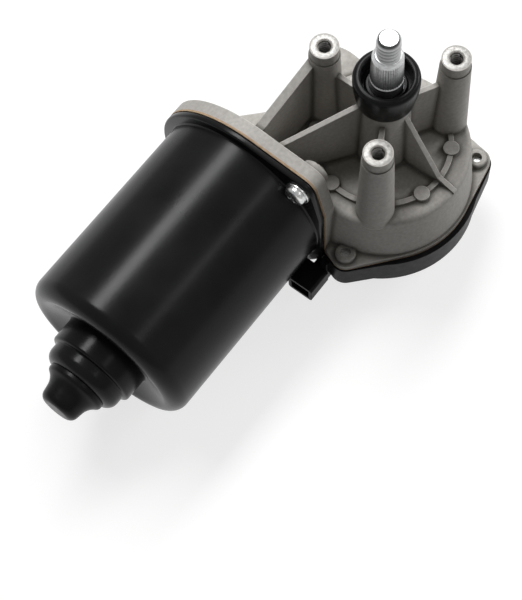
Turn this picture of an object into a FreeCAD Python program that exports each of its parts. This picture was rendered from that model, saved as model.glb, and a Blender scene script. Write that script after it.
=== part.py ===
"""Windscreen wiper motor: a can motor with a worm drive in a die-cast gearbox.

Frame: the origin is where the output shaft's axis meets the plane of the three mounting bosses.
+Z points out along the output shaft. The armature lies along X, with the motor can towards -X.
All sizes are in millimetres.
"""
import FreeCAD, Part
import math
import os

V = FreeCAD.Vector

# Mounting bosses
BOSS_HEIGHT = 43.0
BOSS_CIRCLE_R = 27.0
BOSS_COUNT = 3
BOSS_FIRST_ANGLE = 90.0
BOSS_TOP_R = 5.4
BOSS_BASE_R = 7.3
BOSS_COLLAR_HEIGHT = 5.0
BOSS_STEP = 0.4
BOSS_HOLE_R = 2.5
BOSS_HOLE_DEPTH = 18.0
BOSS_HOLE_CHAMFER = 0.5

# Gear train
MODULE = 1.25
WHEEL_TEETH = 48
WORM_PITCH_R = 5.0
PRESSURE_ANGLE = 20.0
FLANK_CLEARANCE = 0.12
TIP_CLEARANCE = 0.3
WHEEL_FACE = 9.0
WORM_HALF_LENGTH = 12.0
GEAR_PLANE_DEPTH = 13.0

# Gearbox housing
PLATE_THICKNESS = 3.0
BOWL_TOP_R = 33.2
BOWL_FOOT_R = 35.4
BOWL_EDGE_ROUND = 2.2
CAVITY_R = 31.9
CAVITY_SHOULDER_R = 29.0
CAVITY_SHOULDER_DEPTH = 4.0
BOWL_DEPTH = 25.0
JOINT_LIP_R = 36.2
JOINT_LIP_HEIGHT = 2.0
TOWER_TOP_Z = -4.0
TOWER_TOP_R = 9.0
TOWER_BASE_R = 10.6
TOWER_INNER_BOSS_R = 10.6
WEB_THICKNESS = 2.0
WEB_TOP_Z = -13.5
FRONT_WEB_TOP_Z = -12.2
FRONT_WEB_FOOT = 3.0
FLANGE_WEB_END_Y = 25.5
FLANGE_WEB_END_RISE = 33.2
OUTER_RIB_THICKNESS = 3.6
OUTER_RIB_END_Y = 33.0
OUTER_RIB_END_RISE = 35.6
EJECTOR_PAD_R = 3.0
EJECTOR_PAD_HEIGHT = 1.9
EJECTOR_PAD_ANGLES = (112.0, 168.0, 250.0, 301.0)
RING_RIDGE_R = 25.6
RING_RIDGE_WIDTH = 2.0
RING_RIDGE_HEIGHT = 1.5
TUNNEL_R = 11.5
TUNNEL_BORE_R = 7.4
TUNNEL_END_X = 27.0
TUNNEL_END_ROUND = 2.0
NUT_RECESS_R = 8.4
NUT_RECESS_DEPTH = 3.2
THROAT_R = 29.0
THROAT_END_X = -10.0

# Motor flange
FLANGE_FACE_X = -38.0
FLANGE_THICKNESS = 5.0
FLANGE_WIDTH = 4.25
FLANGE_FLAT_WIDTH = 1.55
EAR_REACH = 5.15
EAR_ANGLE = 132.0
EAR_R = 6.6
EAR_BOSS_R = 5.4
EAR_BOSS_LENGTH = 3.2
EAR_BOSS_ROUND = 1.6
GASKET_THICKNESS = 0.8

# Motor can
CAN_R = 35.25
CAN_WALL = 1.6
CAN_LENGTH = 86.7
CAN_CORNER_R = 6.0
CAN_FLANGE_THICKNESS = 2.6
CAN_FLANGE_FILLET = 0.5
CAN_DISH = 3.5
CAN_DISH_MARGIN = 1.0
NOSE_R = 17.5
NOSE_LENGTH = 14.5
NOSE_STEP = 7.0
NOSE_BULGE_R = 15.6
NOSE_TIP_ROUND = 4.2
NOSE_OPENING_R = 10.0
NOSE_STEP_SLOPE = 0.6

# Rubber plug in the nose
PLUG_RIM_R = 12.0
PLUG_RIM_THICKNESS = 1.8
PLUG_RIM_ROUND = 0.7
PLUG_NECK_R = 9.6
PLUG_TIP_R = 7.4
PLUG_LENGTH = 12.0
PLUG_TIP_ROUND = 2.4
PLUG_BORE_R = 5.0
PLUG_BORE_LENGTH = 8.0
PLUG_LIP = 1.0

# Armature
SHAFT_R = 4.0
SHAFT_CHAMFER = 0.7
JOURNAL_R = 5.0
WORM_RUN_OUT = 3.0
SHAFT_REAR_REACH = 1.5
SHAFT_FRONT_REACH = 1.6
END_JOURNAL_R = 3.4
AIR_GAP = 0.85
CORE_SETBACK = 13.5
CORE_LENGTH = 44.0
CORE_SLOTS = 12
SLOT_WIDTH = 7.0
SLOT_MOUTH = 2.2
SLOT_BOTTOM_R = 13.0
SLOT_TOP_R = 24.0
WINDING_OVERHANG = 6.0
WINDING_ROUND = 3.6
COMMUTATOR_R = 11.0
COMMUTATOR_SPACE = 3.0
COMMUTATOR_LENGTH = 14.5
COMMUTATOR_BARS = 12
COMMUTATOR_BAR_DEPTH = 3.0
BAR_GAP = 0.6

# Field
MAGNET_THICKNESS = 6.2
MAGNET_SPAN = 126.0
MAGNET_ANGLES = (90.0, 270.0)
CLIP_ANGLES = (0.0, 180.0)
MAGNET_OVERLAP = 2.5
CLIP_THICKNESS = 1.2
CLIP_GAP_DEGREES = 1.0

# Bearings
REAR_BUSH_R = 8.0
REAR_BUSH_LENGTH = 9.0
REAR_BUSH_BELT = 4.0
REAR_BUSH_TAPER = 1.6
RETAINER_THICKNESS = 3.2
FRONT_BUSH_R = 9.0
FRONT_BUSH_LENGTH = 9.0
END_BUSH_R = 6.4
END_BUSH_LENGTH = 5.0
END_BUSH_SETBACK = 14.5
THRUST_SCREW_R = 4.0
THRUST_SCREW_LENGTH = 6.0
THRUST_SCREW_SLOT = 1.2
THRUST_SCREW_SLOT_DEPTH = 1.5
THRUST_PAD_R = 3.6
THRUST_PAD_LENGTH = 1.4
LOCK_NUT_FLATS = 13.0
LOCK_NUT_HEIGHT = 2.6
LOCK_NUT_SIDES = 6

# Brush gear
BRUSH_PLATE_THICKNESS = 3.0
BRUSH_WIDTH = 8.0
BRUSH_DEPTH = 6.0
BRUSH_LENGTH = 10.0
BRUSH_GAP = 0.3
HOLDER_WALL = 1.0
HOLDER_INNER_GAP = 1.5
HOLDER_OUTER_R = 29.0
SPRING_WIRE_R = 0.45
SPRING_COIL_R = 2.2
SPRING_TURNS = 5
CHOKE_R = 3.0
CHOKE_LENGTH = 11.0
CHOKE_CIRCLE_R = 20.0

# Output shaft
OUTPUT_R = 6.0
OUTPUT_THREAD_R = 4.0
OUTPUT_TIP_Z = 30.0
OUTPUT_TIP_CHAMFER = 0.95
THREAD_FOOT_Z = 22.6
CONE_FOOT_Z = 20.6
KNURL_FOOT_Z = 5.8
CONE_TOP_R = 4.7
CONE_FOOT_R = 5.6
OUTPUT_TAIL = 10.0
BUSH_WALL = 1.4
BUSH_LENGTH = 12.0
WASHER_THICKNESS = 0.8
WASHER_R = 8.4
CIRCLIP_THICKNESS = 1.0
CIRCLIP_R = 7.8

# Clearances
RUNNING_CLEARANCE = 0.05
PLAY = 0.1
SLIP_FIT = 0.2
SCREW_HOLE_CLEARANCE = 0.25
COVER_CLEARANCE = 0.3

# Gear wheel
RIM_INNER_R = 25.0
WHEEL_WEB = 3.0
WHEEL_HUB_R = 10.0
WHEEL_HUB_RISE = 6.1
WHEEL_RIBS = 8
WHEEL_RIB_THICKNESS = 1.6
PARK_DISC_THICKNESS = 0.6
PARK_DISC_NOTCH_ANGLE = 24.0
PARK_DISC_NOTCH_WIDTH = 4.0
PARK_DISC_MARGIN = 2.0

# Collar and seal on the tower
COLLAR_R = 12.0
COLLAR_FOOT_R = 10.6
COLLAR_TOP_Z = 6.5
COLLAR_FOOT_Z = -8.0
COLLAR_MOUTH_R = 9.1
COLLAR_BULGE_Z = 0.5
COLLAR_WAIST_Z = 1.0
COLLAR_LIP_ROUND = 1.3
SEAL_LIP_CLEARANCE = 0.3
SEAL_LIP_THICKNESS = 0.8
SEAL_FLANGE_THICKNESS = 1.6
SEAL_HEIGHT = 3.2

# Gear cover
COVER_R = 38.2
COVER_FOOT_R = 37.8
COVER_WALL = 2.0
COVER_DEPTH = 16.0
COVER_EDGE_ROUND = 2.0
COVER_GASKET_THICKNESS = 0.6
LUG_CIRCLE_R = 37.6
LUG_R = 5.4
LUG_ANGLES = (45.0, 195.0, 315.0)
LUG_PAD_R = 4.0
LUG_PAD_RISE = 4.4
LUG_ROUND = 0.8
COVER_LUG_MARGIN = 0.6
COVER_LUG_DEPTH = 11.5
COVER_SCREW_SETBACK = 2.6
COVER_SCREW_R = 2.0
COVER_SCREW_HEAD_R = 3.7
COVER_SCREW_HEAD_HEIGHT = 2.4
COVER_SCREW_HEAD_ROUND = 0.8

# Connector
CONNECTOR_LENGTH = 10.8
CONNECTOR_REACH = 1.4
CONNECTOR_LOW_Y = -6.2
CONNECTOR_HIGH_Y = 5.0
CONNECTOR_HEIGHT = 8.6
CONNECTOR_WALL = 1.4
CONNECTOR_DEPTH = 8.6
CONNECTOR_ARM_LOW_Y = -5.5
CONNECTOR_ARM_HIGH_Y = 1.0
CONNECTOR_ARM_HEIGHT = 7.2
CONNECTOR_ARM_ROOT_X = -34.0
CONNECTOR_RISER_HEIGHT = 14.0
TERMINAL_COUNT = 3
TERMINAL_WIDTH = 1.6
TERMINAL_THICKNESS = 0.8
TERMINAL_LENGTH = 5.2
CONTACT_WIDTH = 3.0
CONTACT_THICKNESS = 0.4
CONTACT_RADII = (13.5, 18.0, 22.5)
CONTACT_FOOT = 6.0
CONTACT_RISE = 7.0
CONTACT_PAD = 1.0

# Flange screws
FLANGE_SCREW_R = 2.5
FLANGE_HEAD_R = 4.6
FLANGE_HEAD_HEIGHT = 3.6
FLANGE_HEAD_ROUND = 1.4
FLANGE_SCREW_LENGTH = 11.0

# Worked-out sizes
WHEEL_PITCH_R = MODULE * WHEEL_TEETH / 2
WORM_Y = WHEEL_PITCH_R + WORM_PITCH_R
PLATE_Z = -BOSS_HEIGHT
GEAR_PLANE_Z = PLATE_Z - GEAR_PLANE_DEPTH
JOINT_Z = PLATE_Z - BOWL_DEPTH
COVER_FOOT_Z = JOINT_Z - COVER_DEPTH
COVER_LUG_FOOT_Z = JOINT_Z - COVER_LUG_DEPTH
LUG_TOP_Z = JOINT_Z + LUG_PAD_RISE
OUTPUT_FOOT_Z = GEAR_PLANE_Z - OUTPUT_TAIL
WHEEL_HUB_TOP_Z = GEAR_PLANE_Z + WHEEL_HUB_RISE
WORM_Z = GEAR_PLANE_Z
WORM_LEAD = math.pi * MODULE
WORM_TIP_R = WORM_PITCH_R + MODULE
WORM_ROOT_R = WORM_PITCH_R - MODULE - TIP_CLEARANCE
WHEEL_TIP_R = WHEEL_PITCH_R + MODULE
WHEEL_ROOT_R = WHEEL_PITCH_R - MODULE - TIP_CLEARANCE
LEAD_SLOPE = WORM_LEAD / (2 * math.pi * WORM_PITCH_R)
WHEEL_TOP_Z = GEAR_PLANE_Z + WHEEL_FACE / 2
WHEEL_FOOT_Z = GEAR_PLANE_Z - WHEEL_FACE / 2
PLATE_UNDER_Z = PLATE_Z - PLATE_THICKNESS
FLANGE_BACK_X = FLANGE_FACE_X + FLANGE_THICKNESS
CAN_FLANGE_X = FLANGE_FACE_X - GASKET_THICKNESS
CAN_FLANGE_FRONT_X = CAN_FLANGE_X - CAN_FLANGE_THICKNESS
CAN_INNER_R = CAN_R - CAN_WALL
FLANGE_R = CAN_R + FLANGE_WIDTH
FLANGE_FLAT = CAN_R + FLANGE_FLAT_WIDTH
EAR_CIRCLE_R = CAN_R + EAR_REACH
CORE_R = CAN_INNER_R - MAGNET_THICKNESS - AIR_GAP
CAN_END_X = CAN_FLANGE_X - CAN_LENGTH
NOSE_END_X = CAN_END_X - NOSE_LENGTH
NOSE_SHOULDER_X = CAN_END_X - NOSE_STEP
CORE_REAR_X = CAN_END_X + CORE_SETBACK
CORE_FRONT_X = CORE_REAR_X + CORE_LENGTH
COMMUTATOR_REAR_X = CORE_FRONT_X + WINDING_OVERHANG + COMMUTATOR_SPACE
COMMUTATOR_FRONT_X = COMMUTATOR_REAR_X + COMMUTATOR_LENGTH
END_BUSH_X = TUNNEL_END_X - END_BUSH_SETBACK
NUT_SEAT_X = TUNNEL_END_X - NUT_RECESS_DEPTH
SHAFT_REAR_X = NOSE_END_X - SHAFT_REAR_REACH
SHAFT_FRONT_X = END_BUSH_X + END_BUSH_LENGTH + SHAFT_FRONT_REACH
BUSH_OUTER_R = OUTPUT_R + RUNNING_CLEARANCE + BUSH_WALL
COVER_TOP_Z = JOINT_Z - COVER_GASKET_THICKNESS
COVER_SCREW_TIP_Z = LUG_TOP_Z - COVER_SCREW_SETBACK
FLANGE_SCREW_TIP_X = CAN_FLANGE_FRONT_X + FLANGE_SCREW_LENGTH
CONNECTOR_FRONT_X = CAN_FLANGE_FRONT_X - CONNECTOR_REACH
CONNECTOR_END_X = CONNECTOR_FRONT_X - CONNECTOR_LENGTH
CONNECTOR_TOP_Z = COVER_FOOT_Z + CONNECTOR_HEIGHT


def z_cylinder(radius, low, high, x=0.0, y=0.0):
    return Part.makeCylinder(radius, high - low, V(x, y, low))


def x_cylinder(radius, start, end, y=WORM_Y, z=WORM_Z):
    return Part.makeCylinder(radius, end - start, V(start, y, z), V(1, 0, 0))


def box(x0, x1, y0, y1, z0, z1):
    return Part.makeBox(x1 - x0, y1 - y0, z1 - z0, V(x0, y0, z0))


def turned_about_z(profile):
    """A turned solid from (radius, z) points."""
    points = [V(r, 0, z) for r, z in profile]
    face = Part.Face(Part.makePolygon(points + points[:1]))
    return face.revolve(V(0, 0, 0), V(0, 0, 1), 360)


def turned_about_armature(profile):
    """A turned solid round the armature's axis from (x, radius) points."""
    points = [V(x, WORM_Y + r, WORM_Z) for x, r in profile]
    face = Part.Face(Part.makePolygon(points + points[:1]))
    return face.revolve(V(0, WORM_Y, WORM_Z), V(1, 0, 0), 360)


def on_circle(radius, degrees):
    angle = math.radians(degrees)
    return radius * math.cos(angle), radius * math.sin(angle)


def spread(first, count):
    return [first + 360.0 * i / count for i in range(count)]


def ear_places():
    """The centres of the two flange screws, on opposite sides of the armature's axis."""
    places = []
    for turn in (0.0, 180.0):
        dy, dz = on_circle(EAR_CIRCLE_R, EAR_ANGLE + turn)
        places.append((WORM_Y + dy, WORM_Z + dz))
    return places


def flange_plate(start, end, radius, ear_radius):
    """A round plate, flattened beside the connector, with two ears whose sides run off it as tangents."""
    solid = x_cylinder(radius, start, end)
    for y, z in ear_places():
        ear = x_cylinder(ear_radius, start, end, y, z)
        solid = solid.fuse(ear).fuse(ear_fillet(start, end, radius, ear_radius, y, z))
    return solid.removeSplitter().common(past_flange_flat(start, end, radius, 0))


def past_flange_flat(start, end, radius, clearance):
    """The space on the motor's side of the plate's flat."""
    reach = 2 * radius
    return box(start, end, WORM_Y - FLANGE_FLAT - clearance, WORM_Y + reach, WORM_Z - reach, WORM_Z + reach)


def tangent_corners(radius, lug_radius, across, upward):
    """The four points where the outer tangents touch a circle at the origin and a lug's circle beside it."""
    reach = math.hypot(across, upward)
    along = math.atan2(upward, across)
    lean = math.acos((radius - lug_radius) / reach)
    corners = []
    for side in (1, -1):
        angle = along + side * lean
        big = (radius * math.cos(angle), radius * math.sin(angle))
        small = (across + lug_radius * math.cos(angle), upward + lug_radius * math.sin(angle))
        corners += [big, small] if side == 1 else [small, big]
    return corners


def ear_fillet(start, end, radius, ear_radius, y, z):
    """The web between the plate's circle and one ear, bounded by their outer tangents."""
    corners = tangent_corners(radius, ear_radius, y - WORM_Y, z - WORM_Z)
    points = [V(start, WORM_Y + dy, WORM_Z + dz) for dy, dz in corners]
    return Part.Face(Part.makePolygon(points + points[:1])).extrude(V(end - start, 0, 0))


def faired_lug(radius, lug_radius, low, high, x, y):
    """A lug beside a round rim, with sides that run off the rim as tangents."""
    points = [V(corner_x, corner_y, low) for corner_x, corner_y in tangent_corners(radius, lug_radius, x, y)]
    side = Part.Face(Part.makePolygon(points + points[:1])).extrude(V(0, 0, high - low))
    return z_cylinder(lug_radius, low, high, x, y).fuse(side)


def web(start, end, thickness, foot_z, start_top_z, end_top_z):
    """An upright rib between two points, its top edge running straight from one height to another."""
    along = V(end[0] - start[0], end[1] - start[1], 0)
    side = V(-along.y, along.x, 0).normalize() * thickness
    near, far = V(start[0], start[1], 0) - side / 2, V(end[0], end[1], 0) - side / 2
    heights = (foot_z, foot_z, end_top_z, start_top_z)
    loop = [point + V(0, 0, z) for point, z in zip((near, far, far, near), heights)]
    return Part.Face(Part.makePolygon(loop + loop[:1])).extrude(side)


def gear_bowl():
    """The round casting over the gear wheel, drafted outwards to a lip at the cover joint."""
    lip_z = JOINT_Z + JOINT_LIP_HEIGHT
    bowl = turned_about_z([
        (0, PLATE_Z), (BOWL_TOP_R, PLATE_Z), (BOWL_FOOT_R, lip_z), (JOINT_LIP_R, lip_z),
        (JOINT_LIP_R, JOINT_Z), (0, JOINT_Z)])
    top_edge = [e for e in bowl.Edges if abs(e.CenterOfMass.z - PLATE_Z) < 0.01 and e.Length > BOWL_TOP_R]
    return bowl.makeFillet(BOWL_EDGE_ROUND, top_edge)


def throat():
    """The casting that carries the front bearing and spreads out to the motor flange."""
    cone = turned_about_armature([(FLANGE_BACK_X, 0), (FLANGE_BACK_X, THROAT_R), (THROAT_END_X, TUNNEL_R),
                                  (THROAT_END_X, 0)])
    reach = THROAT_R + 1
    return cone.common(box(FLANGE_BACK_X, THROAT_END_X, WORM_Y - reach, WORM_Y + reach, JOINT_Z, PLATE_Z))


def worm_tunnel():
    tunnel = x_cylinder(TUNNEL_R, FLANGE_BACK_X, TUNNEL_END_X)
    end_edge = [e for e in tunnel.Edges if abs(e.CenterOfMass.x - TUNNEL_END_X) < 0.01]
    return tunnel.makeFillet(TUNNEL_END_ROUND, end_edge)


def boss(x, y):
    """A drafted mounting column with a slightly narrower collar at its top."""
    collar_z = -BOSS_COLLAR_HEIGHT
    foot_z = PLATE_UNDER_Z
    collar = z_cylinder(BOSS_TOP_R, collar_z, 0, x, y)
    column = Part.makeCone(BOSS_BASE_R, BOSS_TOP_R + BOSS_STEP, collar_z - foot_z, V(x, y, foot_z))
    return collar.fuse(column)


def boss_hole(x, y):
    mouth_r = BOSS_HOLE_R + BOSS_HOLE_CHAMFER
    hole = z_cylinder(BOSS_HOLE_R, -BOSS_HOLE_DEPTH, 0, x, y)
    return hole.fuse(Part.makeCone(BOSS_HOLE_R, mouth_r, BOSS_HOLE_CHAMFER, V(x, y, -BOSS_HOLE_CHAMFER)))


def tower_radius(z):
    return TOWER_TOP_R + (TOWER_BASE_R - TOWER_TOP_R) * (TOWER_TOP_Z - z) / (TOWER_TOP_Z - PLATE_UNDER_Z)


def tower():
    return Part.makeCone(TOWER_BASE_R, TOWER_TOP_R, TOWER_TOP_Z - PLATE_UNDER_Z, V(0, 0, PLATE_UNDER_Z))


def ribs():
    """Webs from the tower to the bosses, the front rim and the motor flange."""
    parts = []
    for angle in spread(BOSS_FIRST_ANGLE, BOSS_COUNT):
        parts.append(web((0, 0), on_circle(BOSS_CIRCLE_R, angle), WEB_THICKNESS, PLATE_UNDER_Z,
                         WEB_TOP_Z, WEB_TOP_Z))
    front_foot_z = PLATE_Z + FRONT_WEB_FOOT
    parts.append(web((0, SLIP_FIT - TOWER_TOP_R), (0, -RING_RIDGE_R), WEB_THICKNESS, PLATE_UNDER_Z,
                     FRONT_WEB_TOP_Z, front_foot_z))
    parts.append(web((0, -RING_RIDGE_R), (0, -BOWL_TOP_R), WEB_THICKNESS, PLATE_UNDER_Z,
                     front_foot_z, PLATE_Z))
    flange_x = (FLANGE_FACE_X + FLANGE_BACK_X) / 2
    parts.append(web((0, 0), (flange_x, FLANGE_WEB_END_Y), WEB_THICKNESS, PLATE_UNDER_Z,
                     TOWER_TOP_Z - WEB_THICKNESS / 4, WORM_Z + FLANGE_WEB_END_RISE))
    parts.append(web((0, BOSS_CIRCLE_R + WEB_THICKNESS), (flange_x, OUTER_RIB_END_Y), OUTER_RIB_THICKNESS,
                     PLATE_UNDER_Z, -BOSS_COLLAR_HEIGHT, WORM_Z + OUTER_RIB_END_RISE))
    return parts


def top_details():
    """The raised ring on the plate and the round marks of the ejector pins."""
    outer = z_cylinder(RING_RIDGE_R + RING_RIDGE_WIDTH / 2, PLATE_UNDER_Z, PLATE_Z + RING_RIDGE_HEIGHT)
    inner = z_cylinder(RING_RIDGE_R - RING_RIDGE_WIDTH / 2, PLATE_UNDER_Z, PLATE_Z + RING_RIDGE_HEIGHT)
    parts = [outer.cut(inner)]
    for angle in EJECTOR_PAD_ANGLES:
        x, y = on_circle(RING_RIDGE_R, angle)
        parts.append(z_cylinder(EJECTOR_PAD_R, PLATE_UNDER_Z, PLATE_Z + EJECTOR_PAD_HEIGHT, x, y))
    return parts


def lug_places():
    return [on_circle(LUG_CIRCLE_R, angle) for angle in LUG_ANGLES]


def rounded_pin(cylinder, end, axis, radius):
    """A cylinder with the edge at its far end rounded."""
    rim = [e for e in cylinder.Edges if abs(e.CenterOfMass.dot(axis) - end) < 0.01]
    return cylinder.makeFillet(radius, rim)


def housing_lugs():
    """The scallops of the lip with a pad for each cover screw, and the pins behind the flange's ears."""
    lugs = []
    motor_side = past_flange_flat(CAN_FLANGE_FRONT_X - LUG_R, FLANGE_FACE_X, FLANGE_R, COVER_CLEARANCE)
    for x, y in lug_places():
        scallop = faired_lug(JOINT_LIP_R, LUG_R, JOINT_Z, JOINT_Z + JOINT_LIP_HEIGHT, x, y)
        lugs.append(scallop.cut(motor_side))
        pad = z_cylinder(LUG_PAD_R, JOINT_Z, LUG_TOP_Z, x, y)
        lugs.append(rounded_pin(pad, LUG_TOP_Z, V(0, 0, 1), LUG_ROUND))
    end = FLANGE_BACK_X + EAR_BOSS_LENGTH
    for y, z in ear_places():
        pin = x_cylinder(EAR_BOSS_R, FLANGE_FACE_X, end, y, z)
        lugs.append(rounded_pin(pin, end, V(1, 0, 0), EAR_BOSS_ROUND))
    return lugs


def gearbox_housing():
    flange = flange_plate(FLANGE_FACE_X, FLANGE_BACK_X, FLANGE_R, EAR_R)
    additions = [throat(), worm_tunnel(), flange, tower()] + housing_lugs() + ribs() + top_details()
    solid = gear_bowl().multiFuse(additions)
    boss_places = [on_circle(BOSS_CIRCLE_R, angle) for angle in spread(BOSS_FIRST_ANGLE, BOSS_COUNT)]
    solid = solid.multiFuse([boss(x, y) for x, y in boss_places])
    cavity = z_cylinder(CAVITY_R, JOINT_Z - 1, PLATE_UNDER_Z - CAVITY_SHOULDER_DEPTH)
    cavity = cavity.fuse(z_cylinder(CAVITY_SHOULDER_R, JOINT_Z - 1, PLATE_UNDER_Z))
    inner_boss = z_cylinder(TOWER_INNER_BOSS_R, WHEEL_HUB_TOP_Z + 2 * PLAY + WASHER_THICKNESS, PLATE_UNDER_Z)
    solid = solid.cut(cavity).fuse(inner_boss)
    cuts = [boss_hole(x, y) for x, y in boss_places]
    cuts.append(z_cylinder(BUSH_OUTER_R, JOINT_Z, TOWER_TOP_Z + 1))
    cuts.append(x_cylinder(TUNNEL_BORE_R, FLANGE_FACE_X, END_BUSH_X))
    cuts.append(x_cylinder(FRONT_BUSH_R, FLANGE_FACE_X - 1, FLANGE_BACK_X + FRONT_BUSH_LENGTH))
    cuts.append(x_cylinder(END_BUSH_R, END_BUSH_X, END_BUSH_X + END_BUSH_LENGTH))
    cuts.append(x_cylinder(THRUST_SCREW_R, END_BUSH_X, TUNNEL_END_X + 1))
    cuts.append(x_cylinder(NUT_RECESS_R, NUT_SEAT_X, TUNNEL_END_X + 1))
    for x, y in lug_places():
        cuts.append(z_cylinder(COVER_SCREW_R, JOINT_Z - 1, LUG_TOP_Z + 1, x, y))
    for y, z in ear_places():
        cuts.append(x_cylinder(FLANGE_SCREW_R, FLANGE_FACE_X - 1, FLANGE_SCREW_TIP_X, y, z))
    for cut in cuts:
        solid = solid.cut(cut)
    return solid.removeSplitter()


def flange_gasket():
    plate = flange_plate(CAN_FLANGE_X, FLANGE_FACE_X, FLANGE_R, EAR_R)
    plate = plate.cut(x_cylinder(CAN_INNER_R, CAN_FLANGE_X - 1, FLANGE_FACE_X + 1))
    hole_r = FLANGE_SCREW_R + SCREW_HOLE_CLEARANCE
    for y, z in ear_places():
        plate = plate.cut(x_cylinder(hole_r, CAN_FLANGE_X - 1, FLANGE_FACE_X + 1, y, z))
    return plate


def motor_can():
    """A drawn steel can with a dished end, a stepped nose for the bearing and a two-eared flange."""
    dish_x = CAN_END_X + CAN_DISH
    dish_r = CAN_R - CAN_CORNER_R - CAN_DISH_MARGIN
    outer = turned_about_armature([
        (CAN_FLANGE_X, 0), (CAN_FLANGE_X, CAN_R), (CAN_END_X, CAN_R), (CAN_END_X, dish_r), (dish_x, NOSE_R),
        (NOSE_SHOULDER_X, NOSE_R), (NOSE_SHOULDER_X - NOSE_STEP_SLOPE, NOSE_BULGE_R),
        (NOSE_END_X, NOSE_BULGE_R), (NOSE_END_X, 0)])
    corner = [e for e in outer.Edges
              if abs(e.CenterOfMass.x - CAN_END_X) < 0.01 and e.Length > 2 * math.pi * (CAN_R - 1)]
    outer = outer.makeFillet(CAN_CORNER_R, corner)
    tip = [e for e in outer.Edges
           if abs(e.CenterOfMass.x - NOSE_END_X) < 0.01 and e.Length > 2 * math.pi * NOSE_OPENING_R]
    outer = outer.makeFillet(NOSE_TIP_ROUND, tip)
    inner_corner = CAN_CORNER_R - CAN_WALL
    bulge_r = NOSE_BULGE_R - CAN_WALL
    floor_x, tip_x = CAN_END_X + CAN_WALL, NOSE_END_X + CAN_WALL
    inner = turned_about_armature([
        (CAN_FLANGE_X + 1, 0), (CAN_FLANGE_X + 1, CAN_INNER_R), (floor_x + inner_corner, CAN_INNER_R),
        (floor_x, CAN_INNER_R - inner_corner), (dish_x + CAN_WALL, NOSE_R - CAN_WALL),
        (NOSE_SHOULDER_X + CAN_WALL, NOSE_R - CAN_WALL), (NOSE_SHOULDER_X + CAN_WALL, bulge_r),
        (NOSE_END_X + NOSE_TIP_ROUND, bulge_r), (tip_x, NOSE_OPENING_R + PLUG_LIP), (tip_x, NOSE_OPENING_R),
        (NOSE_END_X - 1, NOSE_OPENING_R), (NOSE_END_X - 1, 0)])
    plate = flange_plate(CAN_FLANGE_FRONT_X, CAN_FLANGE_X, FLANGE_R, EAR_R)
    solid = outer.fuse(plate).cut(inner)
    around = 2 * math.pi * CAN_R
    root = [e for e in solid.Edges
            if abs(e.CenterOfMass.x - CAN_FLANGE_FRONT_X) < 0.01 and abs(e.Length - around) < 0.5]
    solid = solid.makeFillet(CAN_FLANGE_FILLET, root)
    hole_r = FLANGE_SCREW_R + SCREW_HOLE_CLEARANCE
    for y, z in ear_places():
        solid = solid.cut(x_cylinder(hole_r, CAN_FLANGE_FRONT_X - 1, CAN_FLANGE_X + 1, y, z))
    return solid


def flange_screws():
    screws = []
    crown = CAN_FLANGE_FRONT_X - FLANGE_HEAD_HEIGHT
    for y, z in ear_places():
        shank = x_cylinder(FLANGE_SCREW_R, CAN_FLANGE_FRONT_X, FLANGE_SCREW_TIP_X, y, z)
        head = x_cylinder(FLANGE_HEAD_R, crown, CAN_FLANGE_FRONT_X, y, z)
        screws.append(rounded_pin(head, crown, V(1, 0, 0), FLANGE_HEAD_ROUND).fuse(shank))
    return Part.makeCompound(screws)


def end_cap():
    """The rubber plug in the nose: a lip inside, a flat rim outside and a tapered stub with a round tip."""
    face_x = NOSE_END_X
    rim_x = face_x - PLUG_RIM_THICKNESS
    tip_x = face_x - PLUG_LENGTH
    lip_x = face_x + CAN_WALL + PLUG_LIP
    plug = turned_about_armature([
        (lip_x, 0), (lip_x, NOSE_OPENING_R), (face_x, NOSE_OPENING_R), (face_x, PLUG_RIM_R),
        (rim_x, PLUG_RIM_R), (rim_x, PLUG_NECK_R), (tip_x, PLUG_TIP_R), (tip_x, 0)])
    for x, radius, rounding in ((rim_x, PLUG_RIM_R, PLUG_RIM_ROUND), (tip_x, PLUG_TIP_R, PLUG_TIP_ROUND)):
        edge = [e for e in plug.Edges
                if abs(e.CenterOfMass.x - x) < 0.01 and abs(e.Length - 2 * math.pi * radius) < 0.01]
        plug = plug.makeFillet(rounding, edge)
    return plug.cut(x_cylinder(PLUG_BORE_R, face_x - PLUG_BORE_LENGTH, lip_x + 1))


def rear_bearing():
    """A self-aligning bush: a belt in the middle and a taper to each end."""
    mid = NOSE_SHOULDER_X
    half, belt = REAR_BUSH_LENGTH / 2, REAR_BUSH_BELT / 2
    bore = SHAFT_R + RUNNING_CLEARANCE
    end_r = REAR_BUSH_R - REAR_BUSH_TAPER
    return turned_about_armature([
        (mid - half, bore), (mid - half, end_r), (mid - belt, REAR_BUSH_R), (mid + belt, REAR_BUSH_R),
        (mid + half, end_r), (mid + half, bore)])


def bearing_retainer():
    """The pressed ring that holds the rear bush in the nose."""
    start, end = NOSE_SHOULDER_X - RETAINER_THICKNESS / 2, NOSE_SHOULDER_X + RETAINER_THICKNESS / 2
    return x_cylinder(NOSE_BULGE_R - CAN_WALL, start, end).cut(x_cylinder(REAR_BUSH_R, start, end))


def magnet_arc(radius_in, radius_out, start, end, middle, span):
    """Part of a ring round the armature, span degrees wide about the angle middle."""
    ring = x_cylinder(radius_out, start, end).cut(x_cylinder(radius_in, start - 1, end + 1))
    reach = 2 * radius_out
    low, high = math.radians(middle - span / 2), math.radians(middle + span / 2)
    corners = [V(start - 1, WORM_Y, WORM_Z)]
    for i in range(4):
        angle = low + (high - low) * i / 3
        corners.append(V(start - 1, WORM_Y + reach * math.cos(angle), WORM_Z + reach * math.sin(angle)))
    wedge = Part.Face(Part.makePolygon(corners + corners[:1])).extrude(V(end - start + 2, 0, 0))
    return ring.common(wedge)


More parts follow.
